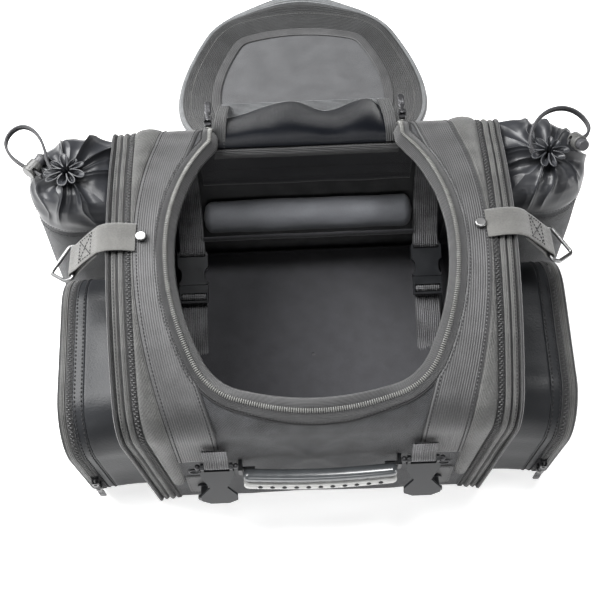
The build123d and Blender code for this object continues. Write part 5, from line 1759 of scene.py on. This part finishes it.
def make_hardware():
    """Everything outside of metal, moulded plastic and strap."""
    make_ring_tabs()
    make_pulls()
    make_handle()
    make_bar_tabs()
    for node in ("tab_rivets", "side_ring_left", "side_ring_right"):
        finish_node(node, steel, 0.25)
    for node in ("zip_sliders", "buckle_bars"):
        finish_node(node, gunmetal, 0.3)
    for node in ("buckle_plate_left", "buckle_plate_right", "lashing_studs"):
        finish_node(node, buckle_plastic, 0.8)
    turn = np.linspace(0, TAU, 24, endpoint=False)
    eye = np.stack([122 + 5.6 * np.cos(turn), np.full(24, -150.6), 87 + 4.6 * np.sin(turn)], 1)
    piece("wall_eyelets", both(tube(eye, 0.9, 8, True)), gunmetal, "bag", (), "gunmetal")
    finish_node("handle_mounts", buckle_plastic, 0.6)
    make_corner_patches()


# ---------------------------------------------------------------- camera, light and floor
def make_view():
    """The photograph's camera: it looks 60 degrees down with 2.3 degrees of roll."""
    pitch, roll = math.radians(60), math.radians(2.3)
    ahead = Vector((0, math.cos(pitch), -math.sin(pitch)))
    above = Vector((0, math.sin(pitch), math.cos(pitch)))
    right = Vector((1, 0, 0))
    across = right * math.cos(roll) - above * math.sin(roll)
    upward = right * math.sin(roll) + above * math.cos(roll)
    data = bpy.data.cameras.new("photo_camera")
    data.lens = 57.6
    data.sensor_width = 36
    camera = add_object("photo_camera", data)
    turn = Matrix((across, upward, -ahead)).transposed()
    camera.matrix_world = Matrix.Translation((-0.01261, -0.47867, 0.98286)) @ turn.to_4x4()
    bpy.context.scene.camera = camera


def lamp(name, place, aim_at, size, size_y, power):
    data = bpy.data.lights.new(name, "AREA")
    data.shape = "RECTANGLE"
    data.size, data.size_y = size, size_y
    data.energy = power
    obj = bpy.data.objects.new(name, data)
    bpy.context.scene.collection.objects.link(obj)
    obj.location = place
    obj.rotation_euler = (Vector(aim_at) - Vector(place)).to_track_quat("-Z", "Y").to_euler()


def make_stage():
    """A pale floor just under the bag, a dim white world and five lamps."""
    mesh = bpy.data.meshes.new("floor")
    level = -0.0012
    mesh.from_pydata([(-6, -6, level), (6, -6, level), (6, 6, level), (-6, 6, level)], [], [(0, 1, 2, 3)])
    floor = add_object("floor", mesh)
    look = bpy.data.materials.new("pale_floor")
    look.use_nodes = True
    shader = look.node_tree.nodes["Principled BSDF"]
    shader.inputs["Base Color"].default_value = (0.8, 0.8, 0.8, 1)
    shader.inputs["Roughness"].default_value = 0.9
    shader.inputs["Emission Color"].default_value = (1, 1, 1, 1)
    shader.inputs["Emission Strength"].default_value = 0.6
    mesh.materials.append(look)
    world = bpy.data.worlds.new("studio")
    world.use_nodes = True
    world.node_tree.nodes["Background"].inputs["Color"].default_value = (1, 1, 1, 1)
    world.node_tree.nodes["Background"].inputs["Strength"].default_value = 0.1
    bpy.context.scene.world = world
    bpy.context.scene.view_settings.view_transform = "Standard"
    lamp("key", (-0.85, 0.5, 1.45), (0, 0.0, 0.15), 1.2, 1.2, 78)
    lamp("top", (0.35, 0.15, 1.9), (0, 0, 0.1), 0.5, 0.5, 20)
    lamp("front", (-0.1, -1.5, 1.3), (0, 0, 0.1), 0.8, 0.5, 7)
    lamp("left_strip", (-1.5, -0.6, 0.45), (-0.2, 0, 0.1), 0.16, 1.0, 6)
    lamp("right_strip", (1.5, -0.6, 0.45), (0.2, 0, 0.1), 0.16, 1.0, 7)


# ---------------------------------------------------------------- making
make_view()
make_stage()
make_cords()
make_skin()
make_main_zip()
make_opening_lip()
make_main_zip_ends()
make_bands()
make_edge_folds()
make_side_stacks()
make_side_boards()
make_side_pockets()
make_covers()
make_bottle_pockets()
make_collar("right", 1, 9, 3.0, ((2.4, 0.45, 0.34, 4.5, 0.5), (-1.6, 0.5, 0.3, 3.5, -0.4)))
make_collar("left", -1, 9, 8.0, ((2.0, 0.5, 0.36, 4.8, -0.5), (-1.2, 0.42, 0.3, 4.2, 0.6)))
make_lid()
make_pouch()
make_floor_pad()
make_rolled_lining()
make_rear_facing()
make_hinge_tape()
make_inner_straps()
make_hardware()
